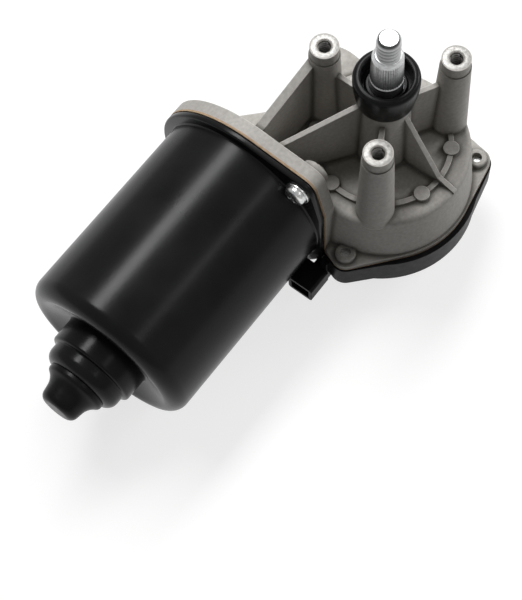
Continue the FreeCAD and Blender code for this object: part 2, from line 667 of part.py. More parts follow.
def magnets():
    start, end = CORE_REAR_X - MAGNET_OVERLAP, CORE_FRONT_X + MAGNET_OVERLAP
    return Part.makeCompound([
        magnet_arc(CAN_INNER_R - MAGNET_THICKNESS, CAN_INNER_R, start, end, middle, MAGNET_SPAN)
        for middle in MAGNET_ANGLES])


def magnet_clips():
    """The sprung steel strips that press the magnets apart."""
    start, end = CORE_REAR_X - MAGNET_OVERLAP, CORE_FRONT_X + MAGNET_OVERLAP
    span = 360 / len(MAGNET_ANGLES) - MAGNET_SPAN - CLIP_GAP_DEGREES
    return Part.makeCompound([
        magnet_arc(CAN_INNER_R - CLIP_THICKNESS, CAN_INNER_R, start, end, middle, span)
        for middle in CLIP_ANGLES])


def worm_thread():
    """A right-hand thread whose middle turn has its crest at x = 0 on the side towards the wheel."""
    slope = math.tan(math.radians(PRESSURE_ANGLE))
    pitch_half = WORM_LEAD / 4 - FLANK_CLEARANCE
    crest_half = pitch_half - MODULE * slope
    inner_r = WORM_ROOT_R - TIP_CLEARANCE
    root_half = pitch_half + (WORM_PITCH_R - inner_r) * slope
    turns = 2 * math.ceil(WORM_HALF_LENGTH / WORM_LEAD) + 1
    start = -turns * WORM_LEAD / 2
    helix = Part.makeHelix(WORM_LEAD, turns * WORM_LEAD, WORM_PITCH_R)
    profile = [V(inner_r, 0, -root_half), V(WORM_TIP_R, 0, -crest_half), V(WORM_TIP_R, 0, crest_half),
               V(inner_r, 0, root_half)]
    thread = Part.Wire(helix.Edges).makePipeShell([Part.makePolygon(profile + profile[:1])], True, True)
    # the helix is made along Z from its start at +X, then laid along the armature's axis
    thread.rotate(V(0, 0, 0), V(0, 1, 0), 90)
    thread.rotate(V(0, 0, 0), V(1, 0, 0), 90)
    thread.translate(V(start, WORM_Y, WORM_Z))
    return thread


def armature_shaft():
    worm_start, worm_end = -WORM_HALF_LENGTH, WORM_HALF_LENGTH
    journal_x = COMMUTATOR_FRONT_X + PLAY
    blank = turned_about_armature([
        (SHAFT_REAR_X, 0), (SHAFT_REAR_X, SHAFT_R - SHAFT_CHAMFER), (SHAFT_REAR_X + SHAFT_CHAMFER, SHAFT_R),
        (journal_x, SHAFT_R), (journal_x, JOURNAL_R), (worm_start - WORM_RUN_OUT, JOURNAL_R),
        (worm_start, WORM_ROOT_R), (worm_end, WORM_ROOT_R), (worm_end, END_JOURNAL_R),
        (SHAFT_FRONT_X - SHAFT_CHAMFER, END_JOURNAL_R), (SHAFT_FRONT_X, END_JOURNAL_R - SHAFT_CHAMFER),
        (SHAFT_FRONT_X, 0)])
    thread = worm_thread().common(x_cylinder(WORM_TIP_R + 1, worm_start, worm_end))
    return blank.fuse(thread)


def armature_core():
    """The lamination stack, with a slot for each coil that narrows at its mouth."""
    core = x_cylinder(CORE_R, CORE_REAR_X, CORE_FRONT_X)
    cuts = [x_cylinder(SHAFT_R, CORE_REAR_X - 1, CORE_FRONT_X + 1)]
    for angle in spread(0, CORE_SLOTS):
        slot = slot_space(CORE_REAR_X - 1, CORE_FRONT_X + 1)
        mouth = box(CORE_REAR_X - 1, CORE_FRONT_X + 1, WORM_Y + SLOT_TOP_R - 1, WORM_Y + CORE_R + 1,
                    WORM_Z - SLOT_MOUTH / 2, WORM_Z + SLOT_MOUTH / 2)
        slot = slot.fuse(mouth)
        slot.rotate(V(0, WORM_Y, WORM_Z), V(1, 0, 0), angle)
        cuts.append(slot)
    for cut in cuts:
        core = core.cut(cut)
    return core


def slot_space(start, end):
    """One tapered slot, before it is turned to its place."""
    inner_half = SLOT_WIDTH * SLOT_BOTTOM_R / SLOT_TOP_R / 2
    outer_half = SLOT_WIDTH / 2
    bottom_y, top_y = WORM_Y + SLOT_BOTTOM_R, WORM_Y + SLOT_TOP_R
    loop = [V(start, bottom_y, WORM_Z - inner_half), V(start, top_y, WORM_Z - outer_half),
            V(start, top_y, WORM_Z + outer_half), V(start, bottom_y, WORM_Z + inner_half)]
    return Part.Face(Part.makePolygon(loop + loop[:1])).extrude(V(end - start, 0, 0))


def armature_windings():
    """The coil heads at each end of the stack, joined by the coil sides that lie in the slots."""
    heads = []
    rear_x, front_x = CORE_REAR_X - WINDING_OVERHANG, CORE_FRONT_X + WINDING_OVERHANG
    for start, end, outer_x in ((rear_x, CORE_REAR_X, rear_x), (CORE_FRONT_X, front_x, front_x)):
        head = x_cylinder(SLOT_TOP_R, start, end).cut(x_cylinder(SHAFT_R + 1, start - 1, end + 1))
        rim = [e for e in head.Edges if abs(e.CenterOfMass.x - outer_x) < 0.01 and e.Length > SLOT_TOP_R * 6]
        heads.append(head.makeFillet(WINDING_ROUND, rim))
    sides = []
    for angle in spread(0, CORE_SLOTS):
        side = slot_space(CORE_REAR_X, CORE_FRONT_X)
        side.rotate(V(0, WORM_Y, WORM_Z), V(1, 0, 0), angle)
        sides.append(side)
    return heads[0].multiFuse([heads[1]] + sides)


def commutator_bars():
    """The copper segments, each apart from the next."""
    inner_r = COMMUTATOR_R - COMMUTATOR_BAR_DEPTH
    ring = x_cylinder(COMMUTATOR_R, COMMUTATOR_REAR_X, COMMUTATOR_FRONT_X)
    ring = ring.cut(x_cylinder(inner_r, COMMUTATOR_REAR_X - 1, COMMUTATOR_FRONT_X + 1))
    for angle in spread(0, COMMUTATOR_BARS):
        gap = box(COMMUTATOR_REAR_X - 1, COMMUTATOR_FRONT_X + 1, WORM_Y, WORM_Y + COMMUTATOR_R + 1,
                  WORM_Z - BAR_GAP / 2, WORM_Z + BAR_GAP / 2)
        gap.rotate(V(0, WORM_Y, WORM_Z), V(1, 0, 0), angle)
        ring = ring.cut(gap)
    return ring


def commutator_hub():
    return x_cylinder(COMMUTATOR_R - COMMUTATOR_BAR_DEPTH, COMMUTATOR_REAR_X, COMMUTATOR_FRONT_X).cut(
        x_cylinder(SHAFT_R, COMMUTATOR_REAR_X - 1, COMMUTATOR_FRONT_X + 1))


def front_bearing():
    start = FLANGE_BACK_X
    return x_cylinder(FRONT_BUSH_R, start, start + FRONT_BUSH_LENGTH).cut(
        x_cylinder(JOURNAL_R + RUNNING_CLEARANCE, start - 1, start + FRONT_BUSH_LENGTH + 1))


def worm_end_bearing():
    return x_cylinder(END_BUSH_R, END_BUSH_X, END_BUSH_X + END_BUSH_LENGTH).cut(
        x_cylinder(END_JOURNAL_R + RUNNING_CLEARANCE, END_BUSH_X - 1, END_BUSH_X + END_BUSH_LENGTH + 1))


def thrust_pad():
    start = SHAFT_FRONT_X + PLAY
    return x_cylinder(THRUST_PAD_R, start, start + THRUST_PAD_LENGTH)


def thrust_screw():
    """The slotted grub screw that sets the armature's end play."""
    start = SHAFT_FRONT_X + PLAY + THRUST_PAD_LENGTH
    end = start + THRUST_SCREW_LENGTH
    slot = box(end - THRUST_SCREW_SLOT_DEPTH, end + 1, WORM_Y - THRUST_SCREW_R, WORM_Y + THRUST_SCREW_R,
               WORM_Z - THRUST_SCREW_SLOT / 2, WORM_Z + THRUST_SCREW_SLOT / 2)
    return x_cylinder(THRUST_SCREW_R, start, end).cut(slot)


def lock_nut():
    half_side = 180 / LOCK_NUT_SIDES
    radius = LOCK_NUT_FLATS / 2 / math.cos(math.radians(half_side))
    corners = []
    for angle in spread(half_side, LOCK_NUT_SIDES):
        dy, dz = on_circle(radius, angle)
        corners.append(V(NUT_SEAT_X, WORM_Y + dy, WORM_Z + dz))
    nut = Part.Face(Part.makePolygon(corners + corners[:1])).extrude(V(LOCK_NUT_HEIGHT, 0, 0))
    return nut.cut(x_cylinder(THRUST_SCREW_R, NUT_SEAT_X - 1, NUT_SEAT_X + LOCK_NUT_HEIGHT + 1))


def brush_plate():
    """The moulded disc that carries the brush gear in the mouth of the can."""
    start = FLANGE_FACE_X - BRUSH_PLATE_THICKNESS
    plate = x_cylinder(CAN_INNER_R - SLIP_FIT, start, FLANGE_FACE_X)
    return plate.cut(x_cylinder(FRONT_BUSH_R, start - 1, FLANGE_FACE_X + 1))


def brush_row(make):
    """Two brushes face each other across the commutator, along Z."""
    upper = make()
    lower = upper.copy()
    lower.rotate(V(0, WORM_Y, WORM_Z), V(1, 0, 0), 180)
    return Part.makeCompound([upper, lower])


def brush_middle_x():
    return (COMMUTATOR_REAR_X + COMMUTATOR_FRONT_X) / 2


def carbon_brushes():
    x = brush_middle_x()
    foot = WORM_Z + COMMUTATOR_R + BRUSH_GAP
    return brush_row(lambda: box(x - BRUSH_DEPTH / 2, x + BRUSH_DEPTH / 2, WORM_Y - BRUSH_WIDTH / 2,
                                 WORM_Y + BRUSH_WIDTH / 2, foot, foot + BRUSH_LENGTH))


def brush_holders():
    """Square brass tubes on the brush plate, closed at the outer end."""
    x = brush_middle_x()
    plate_x = FLANGE_FACE_X - BRUSH_PLATE_THICKNESS
    foot = WORM_Z + COMMUTATOR_R + BRUSH_GAP + HOLDER_INNER_GAP
    top = WORM_Z + HOLDER_OUTER_R

    def one():
        shell = box(x - BRUSH_DEPTH / 2 - HOLDER_WALL, plate_x, WORM_Y - BRUSH_WIDTH / 2 - HOLDER_WALL,
                    WORM_Y + BRUSH_WIDTH / 2 + HOLDER_WALL, foot, top)
        return shell.cut(box(x - BRUSH_DEPTH / 2, x + BRUSH_DEPTH / 2, WORM_Y - BRUSH_WIDTH / 2,
                             WORM_Y + BRUSH_WIDTH / 2, foot - 1, top - HOLDER_WALL))
    return brush_row(one)


def brush_springs():
    """Coil springs between each brush and the end of its holder."""
    x = brush_middle_x()
    foot = WORM_Z + COMMUTATOR_R + BRUSH_GAP + BRUSH_LENGTH
    top = WORM_Z + HOLDER_OUTER_R - HOLDER_WALL
    height = top - foot - 2 * SPRING_WIRE_R

    def one():
        helix = Part.makeHelix(height / SPRING_TURNS, height, SPRING_COIL_R)
        circle = Part.Wire(Part.makeCircle(SPRING_WIRE_R, V(SPRING_COIL_R, 0, 0), V(0, 1, 0)))
        spring = Part.Wire(helix.Edges).makePipeShell([circle], True, True)
        spring.translate(V(x, WORM_Y, foot + SPRING_WIRE_R))
        return spring
    return brush_row(one)


def suppressor_chokes():
    """Wound ferrite rods beside the brushes, held against the brush plate."""
    plate_x = FLANGE_FACE_X - BRUSH_PLATE_THICKNESS
    rods = []
    for side in (-1, 1):
        y = WORM_Y + side * CHOKE_CIRCLE_R
        rods.append(x_cylinder(CHOKE_R, plate_x - CHOKE_LENGTH, plate_x, y, WORM_Z))
    return Part.makeCompound(rods)


def output_shaft():
    return turned_about_z([
        (0, OUTPUT_TIP_Z), (OUTPUT_THREAD_R - OUTPUT_TIP_CHAMFER, OUTPUT_TIP_Z),
        (OUTPUT_THREAD_R, OUTPUT_TIP_Z - OUTPUT_TIP_CHAMFER), (OUTPUT_THREAD_R, THREAD_FOOT_Z),
        (CONE_TOP_R, THREAD_FOOT_Z), (CONE_FOOT_R, CONE_FOOT_Z), (OUTPUT_R, KNURL_FOOT_Z),
        (OUTPUT_R, OUTPUT_FOOT_Z + OUTPUT_TIP_CHAMFER), (OUTPUT_R - OUTPUT_TIP_CHAMFER, OUTPUT_FOOT_Z),
        (0, OUTPUT_FOOT_Z)])


def shaft_bush(top_z):
    return z_cylinder(BUSH_OUTER_R, top_z - BUSH_LENGTH, top_z).cut(
        z_cylinder(OUTPUT_R + RUNNING_CLEARANCE, top_z - BUSH_LENGTH - 1, top_z + 1))


def ring(inner_r, outer_r, low, high):
    return z_cylinder(outer_r, low, high).cut(z_cylinder(inner_r, low - 1, high + 1))


def collar():
    """The rubber collar that grips the tower and stands up round the shaft as a cup."""
    grip_r = TOWER_TOP_R + SLIP_FIT
    cup = turned_about_z([
        (tower_radius(COLLAR_FOOT_Z) + SLIP_FIT, COLLAR_FOOT_Z), (COLLAR_FOOT_R, COLLAR_FOOT_Z),
        (COLLAR_R, COLLAR_BULGE_Z), (COLLAR_R, COLLAR_TOP_Z), (COLLAR_MOUTH_R, COLLAR_TOP_Z),
        (COLLAR_MOUTH_R, COLLAR_WAIST_Z), (grip_r, COLLAR_WAIST_Z), (grip_r, TOWER_TOP_Z)])
    lip = [e for e in cup.Edges if abs(e.CenterOfMass.z - COLLAR_TOP_Z) < 0.01]
    return cup.makeFillet(COLLAR_LIP_ROUND, lip)


def shaft_seal():
    """The rain seal inside the collar, with a raised inner lip."""
    foot = TOWER_TOP_Z + WASHER_THICKNESS + CIRCLIP_THICKNESS + 4 * PLAY
    inner, outer = OUTPUT_R + SEAL_LIP_CLEARANCE, TOWER_TOP_R + SLIP_FIT
    shelf = foot + SEAL_FLANGE_THICKNESS
    return turned_about_z([
        (inner, foot), (outer, foot), (outer, shelf), (inner + 2 * SEAL_LIP_THICKNESS, shelf),
        (inner + SEAL_LIP_THICKNESS, foot + SEAL_HEIGHT), (inner, foot + SEAL_HEIGHT)])


def involute_half_angle(radius):
    """Half the angle that one wheel tooth fills at a radius, in radians."""
    base_r = WHEEL_PITCH_R * math.cos(math.radians(PRESSURE_ANGLE))

    def involute(r):
        pressure = math.acos(min(1.0, base_r / r))
        return math.tan(pressure) - pressure
    at_pitch = math.pi / (2 * WHEEL_TEETH) - FLANK_CLEARANCE / WHEEL_PITCH_R
    return at_pitch + involute(WHEEL_PITCH_R) - involute(radius)


def wheel_outline(z):
    """The toothed outline at one height, turned so that the teeth follow the worm's lead."""
    lean = LEAD_SLOPE * (z - GEAR_PLANE_Z) / WHEEL_PITCH_R
    radii = (WHEEL_ROOT_R, WHEEL_PITCH_R, WHEEL_TIP_R)
    points = []
    for tooth in range(WHEEL_TEETH):
        middle = math.pi / 2 + (tooth + 0.5) * 2 * math.pi / WHEEL_TEETH + lean
        for r in radii:
            a = middle - involute_half_angle(r)
            points.append(V(r * math.cos(a), r * math.sin(a), z))
        for r in reversed(radii):
            a = middle + involute_half_angle(r)
            points.append(V(r * math.cos(a), r * math.sin(a), z))
    return Part.makePolygon(points + points[:1])


def gear_wheel():
    """The moulded worm wheel: helical teeth, a thin web, ribs and a hub on the shaft."""
    blank = Part.makeLoft([wheel_outline(WHEEL_FOOT_Z), wheel_outline(WHEEL_TOP_Z)], True, True)
    web_top = GEAR_PLANE_Z + WHEEL_WEB / 2
    upper = ring(WHEEL_HUB_R, RIM_INNER_R, web_top, WHEEL_TOP_Z + 1)
    lower = ring(WHEEL_HUB_R, RIM_INNER_R, WHEEL_FOOT_Z - 1, GEAR_PLANE_Z - WHEEL_WEB / 2)
    wheel = blank.cut(upper).cut(lower)
    extras = [z_cylinder(WHEEL_HUB_R, WHEEL_FOOT_Z, WHEEL_HUB_TOP_Z)]
    for angle in spread(0, WHEEL_RIBS):
        start, end = on_circle(WHEEL_HUB_R - 1, angle), on_circle(RIM_INNER_R + 1, angle)
        extras.append(web(start, end, WHEEL_RIB_THICKNESS, WHEEL_FOOT_Z, WHEEL_TOP_Z - 1, WHEEL_TOP_Z - 1))
    wheel = wheel.multiFuse(extras)
    return wheel.cut(z_cylinder(OUTPUT_R, WHEEL_FOOT_Z - 1, WHEEL_HUB_TOP_Z + 1))


def park_disc():
    """The contact disc on the wheel's underside, with the notch that stops the wiper at its park place."""
    top = WHEEL_FOOT_Z
    disc = ring(WHEEL_HUB_R, RIM_INNER_R + PARK_DISC_MARGIN, top - PARK_DISC_THICKNESS, top)
    middle, half_width = CONTACT_RADII[1], PARK_DISC_NOTCH_WIDTH / 2
    low = top - PARK_DISC_THICKNESS
    notch = ring(middle - half_width, middle + half_width, low - 1, top + 1)
    reach = WHEEL_TIP_R
    side = reach * math.tan(math.radians(PARK_DISC_NOTCH_ANGLE / 2))
    corners = [V(0, 0, low - 1), V(reach, -side, low - 1), V(reach, side, low - 1)]
    wedge = Part.Face(Part.makePolygon(corners + corners[:1])).extrude(V(0, 0, PARK_DISC_THICKNESS + 2))
    return disc.cut(notch.common(wedge))


def flange_relief():
    """The space that the cover and its gasket leave for the motor's flange."""
    start, end = CAN_FLANGE_FRONT_X - COVER_R, FLANGE_BACK_X + COVER_CLEARANCE
    radius = FLANGE_R + COVER_CLEARANCE
    return x_cylinder(radius, start, end).common(past_flange_flat(start, end, radius, COVER_CLEARANCE))


def gear_cover():
    """The moulded cover: a dished disc with a lug at each screw, cut back where the motor's flange passes."""
    solid = Part.makeCone(COVER_FOOT_R, COVER_R, COVER_TOP_Z - COVER_FOOT_Z, V(0, 0, COVER_FOOT_Z))
    foot_edge = [e for e in solid.Edges if abs(e.CenterOfMass.z - COVER_FOOT_Z) < 0.01]
    solid = solid.makeFillet(COVER_EDGE_ROUND, foot_edge)
    lug_r = LUG_R + COVER_LUG_MARGIN
    for x, y in lug_places():
        solid = solid.fuse(faired_lug(COVER_FOOT_R, lug_r, COVER_LUG_FOOT_Z, COVER_TOP_Z, x, y))
    hollow_r = COVER_FOOT_R - COVER_WALL - LUG_R
    solid = solid.cut(z_cylinder(hollow_r, COVER_FOOT_Z + COVER_WALL, COVER_TOP_Z + 1)).cut(flange_relief())
    hole_r, head_r = COVER_SCREW_R + SCREW_HOLE_CLEARANCE, COVER_SCREW_HEAD_R + SCREW_HOLE_CLEARANCE
    for x, y in lug_places():
        solid = solid.cut(z_cylinder(hole_r, COVER_FOOT_Z - 1, COVER_TOP_Z + 1, x, y))
        solid = solid.cut(z_cylinder(head_r, COVER_FOOT_Z - 1, COVER_LUG_FOOT_Z, x, y))
    return solid.cut(connector_arm())


def cover_gasket():
    low, high = COVER_TOP_Z, JOINT_Z
    solid = z_cylinder(JOINT_LIP_R, low, high)
    for x, y in lug_places():
        solid = solid.fuse(faired_lug(JOINT_LIP_R, LUG_R, low, high, x, y))
    solid = solid.cut(z_cylinder(CAVITY_R, low - 1, high + 1)).cut(flange_relief())
    for x, y in lug_places():
        solid = solid.cut(z_cylinder(COVER_SCREW_R + SCREW_HOLE_CLEARANCE, low - 1, high + 1, x, y))
    return solid


def cover_screws():
    screws = []
    crown = COVER_LUG_FOOT_Z - COVER_SCREW_HEAD_HEIGHT
    for x, y in lug_places():
        shank = z_cylinder(COVER_SCREW_R, COVER_LUG_FOOT_Z, COVER_SCREW_TIP_Z, x, y)
        head = z_cylinder(COVER_SCREW_HEAD_R, crown, COVER_LUG_FOOT_Z, x, y)
        screws.append(rounded_pin(head, crown, V(0, 0, 1), COVER_SCREW_HEAD_ROUND).fuse(shank))
    return Part.makeCompound(screws)


def connector_arm():
    """The bar that carries the connector past the motor's flange, with a riser beside the flange's flat."""
    bar = box(CONNECTOR_FRONT_X, CONNECTOR_ARM_ROOT_X, CONNECTOR_ARM_LOW_Y, CONNECTOR_ARM_HIGH_Y,
              COVER_FOOT_Z, COVER_FOOT_Z + CONNECTOR_ARM_HEIGHT)
    riser_y = WORM_Y - FLANGE_FLAT - 2 * COVER_CLEARANCE
    riser = box(CONNECTOR_FRONT_X, CONNECTOR_ARM_ROOT_X, CONNECTOR_ARM_LOW_Y, riser_y,
                COVER_FOOT_Z, COVER_FOOT_Z + CONNECTOR_RISER_HEIGHT)
    return bar.fuse(riser).removeSplitter()


def connector_shell():
    """The rectangular shroud for the vehicle's plug, open towards the motor's tail."""
    block = box(CONNECTOR_END_X, CONNECTOR_FRONT_X, CONNECTOR_LOW_Y, CONNECTOR_HIGH_Y,
                COVER_FOOT_Z, CONNECTOR_TOP_Z)
    long_edges = [e for e in block.Edges if abs(e.tangentAt(e.FirstParameter).x) > 0.99]
    block = block.makeFillet(CONNECTOR_WALL, long_edges)
    cavity = box(CONNECTOR_END_X - 1, CONNECTOR_END_X + CONNECTOR_DEPTH,
                 CONNECTOR_LOW_Y + CONNECTOR_WALL, CONNECTOR_HIGH_Y - CONNECTOR_WALL,
                 COVER_FOOT_Z + CONNECTOR_WALL, CONNECTOR_TOP_Z - CONNECTOR_WALL)
    block = block.cut(cavity).fuse(connector_arm()).removeSplitter()
    for y, z in terminal_places():
        block = block.cut(terminal(y, z))
    return block


def terminal_places():
    room = CONNECTOR_HIGH_Y - CONNECTOR_LOW_Y - 2 * CONNECTOR_WALL
    pitch = room / TERMINAL_COUNT
    z = (COVER_FOOT_Z + CONNECTOR_TOP_Z) / 2
    return [(CONNECTOR_LOW_Y + CONNECTOR_WALL + pitch * (i + 0.5), z) for i in range(TERMINAL_COUNT)]


def terminal(y, z):
    end = CONNECTOR_FRONT_X - CONNECTOR_WALL / 2
    return box(end - TERMINAL_LENGTH, end, y - TERMINAL_THICKNESS / 2, y + TERMINAL_THICKNESS / 2,
               z - TERMINAL_WIDTH / 2, z + TERMINAL_WIDTH / 2)


def connector_terminals():
    return Part.makeCompound([terminal(y, z) for y, z in terminal_places()])


def park_contacts():
    """The leaf springs on the cover's floor that wipe the park disc."""
    floor = COVER_FOOT_Z + COVER_WALL
    touch = WHEEL_FOOT_Z - PARK_DISC_THICKNESS - BRUSH_GAP
    bend, foot_end = -CONTACT_PAD - CONTACT_RISE, -CONTACT_PAD - CONTACT_RISE - CONTACT_FOOT
    floor_top, touch_under = floor + CONTACT_THICKNESS, touch - CONTACT_THICKNESS
    outline = [(foot_end, floor), (foot_end, floor_top), (bend, floor_top), (-CONTACT_PAD, touch),
               (CONTACT_PAD, touch), (CONTACT_PAD, touch_under), (-CONTACT_PAD / 2, touch_under),
               (bend + CONTACT_PAD / 2, floor)]
    leaves = []
    for radius in CONTACT_RADII:
        edge = radius - CONTACT_WIDTH / 2
        loop = [V(x, edge, z) for x, z in outline]
        leaves.append(Part.Face(Part.makePolygon(loop + loop[:1])).extrude(V(0, CONTACT_WIDTH, 0)))
    return Part.makeCompound(leaves)


def build():
    washer_foot = TOWER_TOP_Z + PLAY
    circlip_foot = washer_foot + WASHER_THICKNESS + PLAY
    return {
        "gearbox_housing": gearbox_housing(),
        "flange_gasket": flange_gasket(),
        "motor_can": motor_can(),
        "flange_screws": flange_screws(),
        "end_cap": end_cap(),
        "rear_bearing": rear_bearing(),
        "bearing_retainer": bearing_retainer(),
        "magnets": magnets(),
        "magnet_clips": magnet_clips(),
        "armature_shaft": armature_shaft(),
        "armature_core": armature_core(),
        "armature_windings": armature_windings(),
        "commutator_bars": commutator_bars(),
        "commutator_hub": commutator_hub(),
        "front_bearing": front_bearing(),
        "worm_end_bearing": worm_end_bearing(),
        "thrust_pad": thrust_pad(),
        "thrust_screw": thrust_screw(),
        "lock_nut": lock_nut(),
        "brush_plate": brush_plate(),
        "brush_holders": brush_holders(),
        "carbon_brushes": carbon_brushes(),
        "brush_springs": brush_springs(),
        "suppressor_chokes": suppressor_chokes(),
        "output_shaft": output_shaft(),
        "upper_shaft_bush": shaft_bush(TOWER_TOP_Z),
        "lower_shaft_bush": shaft_bush(PLATE_UNDER_Z + BUSH_LENGTH - 2.0),
        "upper_washer": ring(OUTPUT_R, WASHER_R, washer_foot, washer_foot + WASHER_THICKNESS),
        "retaining_ring": ring(OUTPUT_R, CIRCLIP_R, circlip_foot, circlip_foot + CIRCLIP_THICKNESS),
        "wheel_washer": ring(OUTPUT_R, WASHER_R, WHEEL_HUB_TOP_Z, WHEEL_HUB_TOP_Z + WASHER_THICKNESS),
        "shaft_collar": collar(),
        "shaft_seal": shaft_seal(),
        "gear_wheel": gear_wheel(),
        "park_disc": park_disc(),
        "gear_cover": gear_cover(),
        "cover_gasket": cover_gasket(),
        "cover_screws": cover_screws(),
        "connector_shell": connector_shell(),
        "connector_terminals": connector_terminals(),
        "park_contacts": park_contacts(),
    }


os.makedirs("parts", exist_ok=True)
for name, shape in build().items():
    shape.exportStep("parts/" + name + ".step")
    box_size = shape.BoundBox
    print(name, len(shape.Solids), "valid" if shape.isValid() else "INVALID", round(shape.Volume, 1),
          [round(value, 1) for value in (box_size.XMin, box_size.XMax, box_size.YMin, box_size.YMax,
                                         box_size.ZMin, box_size.ZMax)])
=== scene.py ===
"""The finished look of a windscreen wiper motor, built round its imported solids."""
import math

import bmesh
import bpy
from mathutils import Matrix, Vector


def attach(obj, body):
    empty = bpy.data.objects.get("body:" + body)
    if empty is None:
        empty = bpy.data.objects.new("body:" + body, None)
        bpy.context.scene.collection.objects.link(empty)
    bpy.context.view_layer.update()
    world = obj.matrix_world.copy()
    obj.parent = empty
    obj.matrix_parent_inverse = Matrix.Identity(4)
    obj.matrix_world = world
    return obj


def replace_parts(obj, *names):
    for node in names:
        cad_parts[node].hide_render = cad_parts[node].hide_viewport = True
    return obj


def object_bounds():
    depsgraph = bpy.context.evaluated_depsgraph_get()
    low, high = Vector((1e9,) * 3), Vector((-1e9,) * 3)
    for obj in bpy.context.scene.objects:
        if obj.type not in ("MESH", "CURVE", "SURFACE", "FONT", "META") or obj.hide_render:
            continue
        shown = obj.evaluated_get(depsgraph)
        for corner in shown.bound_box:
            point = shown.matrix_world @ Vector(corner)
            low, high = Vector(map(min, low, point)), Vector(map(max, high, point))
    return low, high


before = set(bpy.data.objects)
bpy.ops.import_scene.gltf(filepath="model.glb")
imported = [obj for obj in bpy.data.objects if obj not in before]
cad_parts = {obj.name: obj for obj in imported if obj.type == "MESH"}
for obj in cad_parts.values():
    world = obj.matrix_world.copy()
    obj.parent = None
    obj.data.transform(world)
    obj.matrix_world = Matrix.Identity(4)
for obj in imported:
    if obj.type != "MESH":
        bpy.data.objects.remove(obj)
cad_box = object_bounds()


# The gearbox housing is one aluminium die casting: bowl, worm tunnel, motor flange, bearing tower and ribs.
# It is left as cast, with a fine sandy skin that is a little darker in small patches, and softened corners.
MM = 0.001


def new_finish(name, colour, metallic, roughness):
    """A material with its Principled shader, ready for a pattern."""
    material = bpy.data.materials.new(name)
    material.use_nodes = True
    shader = material.node_tree.nodes["Principled BSDF"]
    shader.inputs["Base Color"].default_value = (*colour, 1)
    shader.inputs["Metallic"].default_value = metallic
    shader.inputs["Roughness"].default_value = roughness
    return material, material.node_tree, shader


def object_noise(tree, size, detail=4.0, stretch=(1, 1, 1)):
    """Noise on the piece's own coordinates, whose grains are about size metres."""
    place = tree.nodes.new("ShaderNodeTexCoord")
    scale = tree.nodes.new("ShaderNodeMapping")
    scale.inputs["Scale"].default_value = [s / size for s in stretch]
    noise = tree.nodes.new("ShaderNodeTexNoise")
    noise.inputs["Scale"].default_value = 1.0
    noise.inputs["Detail"].default_value = detail
    tree.links.new(place.outputs["Object"], scale.inputs["Vector"])
    tree.links.new(scale.outputs["Vector"], noise.inputs["Vector"])
    return noise.outputs["Fac"]


def blend_colours(tree, factor, low, high, edges=(0.35, 0.65)):
    ramp = tree.nodes.new("ShaderNodeValToRGB")
    ramp.color_ramp.elements[0].position, ramp.color_ramp.elements[1].position = edges
    ramp.color_ramp.elements[0].color = (*low, 1)
    ramp.color_ramp.elements[1].color = (*high, 1)
    tree.links.new(factor, ramp.inputs["Fac"])
    return ramp.outputs["Color"]


def spread_roughness(tree, shader, factor, low, high):
    span = tree.nodes.new("ShaderNodeMapRange")
    span.inputs["To Min"].default_value = low
    span.inputs["To Max"].default_value = high
    tree.links.new(factor, span.inputs["Value"])
    tree.links.new(span.outputs["Result"], shader.inputs["Roughness"])


def raise_grain(tree, shader, factor, height, strength=1.0, over=None):
    bump = tree.nodes.new("ShaderNodeBump")
    bump.inputs["Strength"].default_value = strength
    bump.inputs["Distance"].default_value = height
    tree.links.new(factor, bump.inputs["Height"])
    if over is not None:
        tree.links.new(over, bump.inputs["Normal"])
    tree.links.new(bump.outputs["Normal"], shader.inputs["Normal"])
    return bump.outputs["Normal"]


def soften_edges(tree, radius):
    """The small radius that every moulded or cast corner has."""
    rounded = tree.nodes.new("ShaderNodeBevel")
    rounded.samples = 6
    rounded.inputs["Radius"].default_value = radius
    return rounded.outputs["Normal"]


def paint_edge_highlight_and_hollow_shade(tree, colour, rounded, painted_light, shade_colour):
    """The colour with a painted highlight on the softened corners and painted shade in the hollows."""
    flat = tree.nodes.new("ShaderNodeNewGeometry")
    turn = tree.nodes.new("ShaderNodeVectorMath")
    turn.operation = "DOT_PRODUCT"
    tree.links.new(rounded, turn.inputs[0])
    tree.links.new(flat.outputs["Normal"], turn.inputs[1])
    span = tree.nodes.new("ShaderNodeMapRange")
    span.inputs["From Min"].default_value = 0.99
    span.inputs["From Max"].default_value = 0.88
    tree.links.new(turn.outputs["Value"], span.inputs["Value"])
    # Ambient occlusion finds the hollows. The colour there is painted darker as painted shade, and the edge
    # highlight is kept off them.
    hollow = tree.nodes.new("ShaderNodeAmbientOcclusion")
    hollow.samples = 6
    hollow.inputs["Distance"].default_value = 2.5 * MM
    open_part = tree.nodes.new("ShaderNodeMapRange")
    open_part.inputs["From Min"].default_value = 0.7
    open_part.inputs["From Max"].default_value = 0.95
    tree.links.new(hollow.outputs["AO"], open_part.inputs["Value"])
    edge_highlight_mask = tree.nodes.new("ShaderNodeMath")
    edge_highlight_mask.operation = "MULTIPLY"
    tree.links.new(span.outputs["Result"], edge_highlight_mask.inputs[0])
    tree.links.new(open_part.outputs["Result"], edge_highlight_mask.inputs[1])
    # Painted highlight: the pale colour laid on the softened corners.
    blend = tree.nodes.new("ShaderNodeMix")
    blend.data_type = "RGBA"
    blend.inputs["B"].default_value = (*painted_light, 1)
    tree.links.new(edge_highlight_mask.outputs["Value"], blend.inputs["Factor"])
    tree.links.new(colour, blend.inputs["A"])
    # Painted shade: the dark colour laid in the hollows.
    hollow_shade_mix = tree.nodes.new("ShaderNodeMix")
    hollow_shade_mix.data_type = "RGBA"
    hollow_shade_mix.inputs["A"].default_value = (*shade_colour, 1)
    tree.links.new(open_part.outputs["Result"], hollow_shade_mix.inputs["Factor"])
    tree.links.new(blend.outputs["Result"], hollow_shade_mix.inputs["B"])
    return hollow_shade_mix.outputs["Result"]


def dress(node, material):
    """Gives a solid of the frame its finish."""
    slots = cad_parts[node].data.materials
    slots.clear()
    slots.append(material)


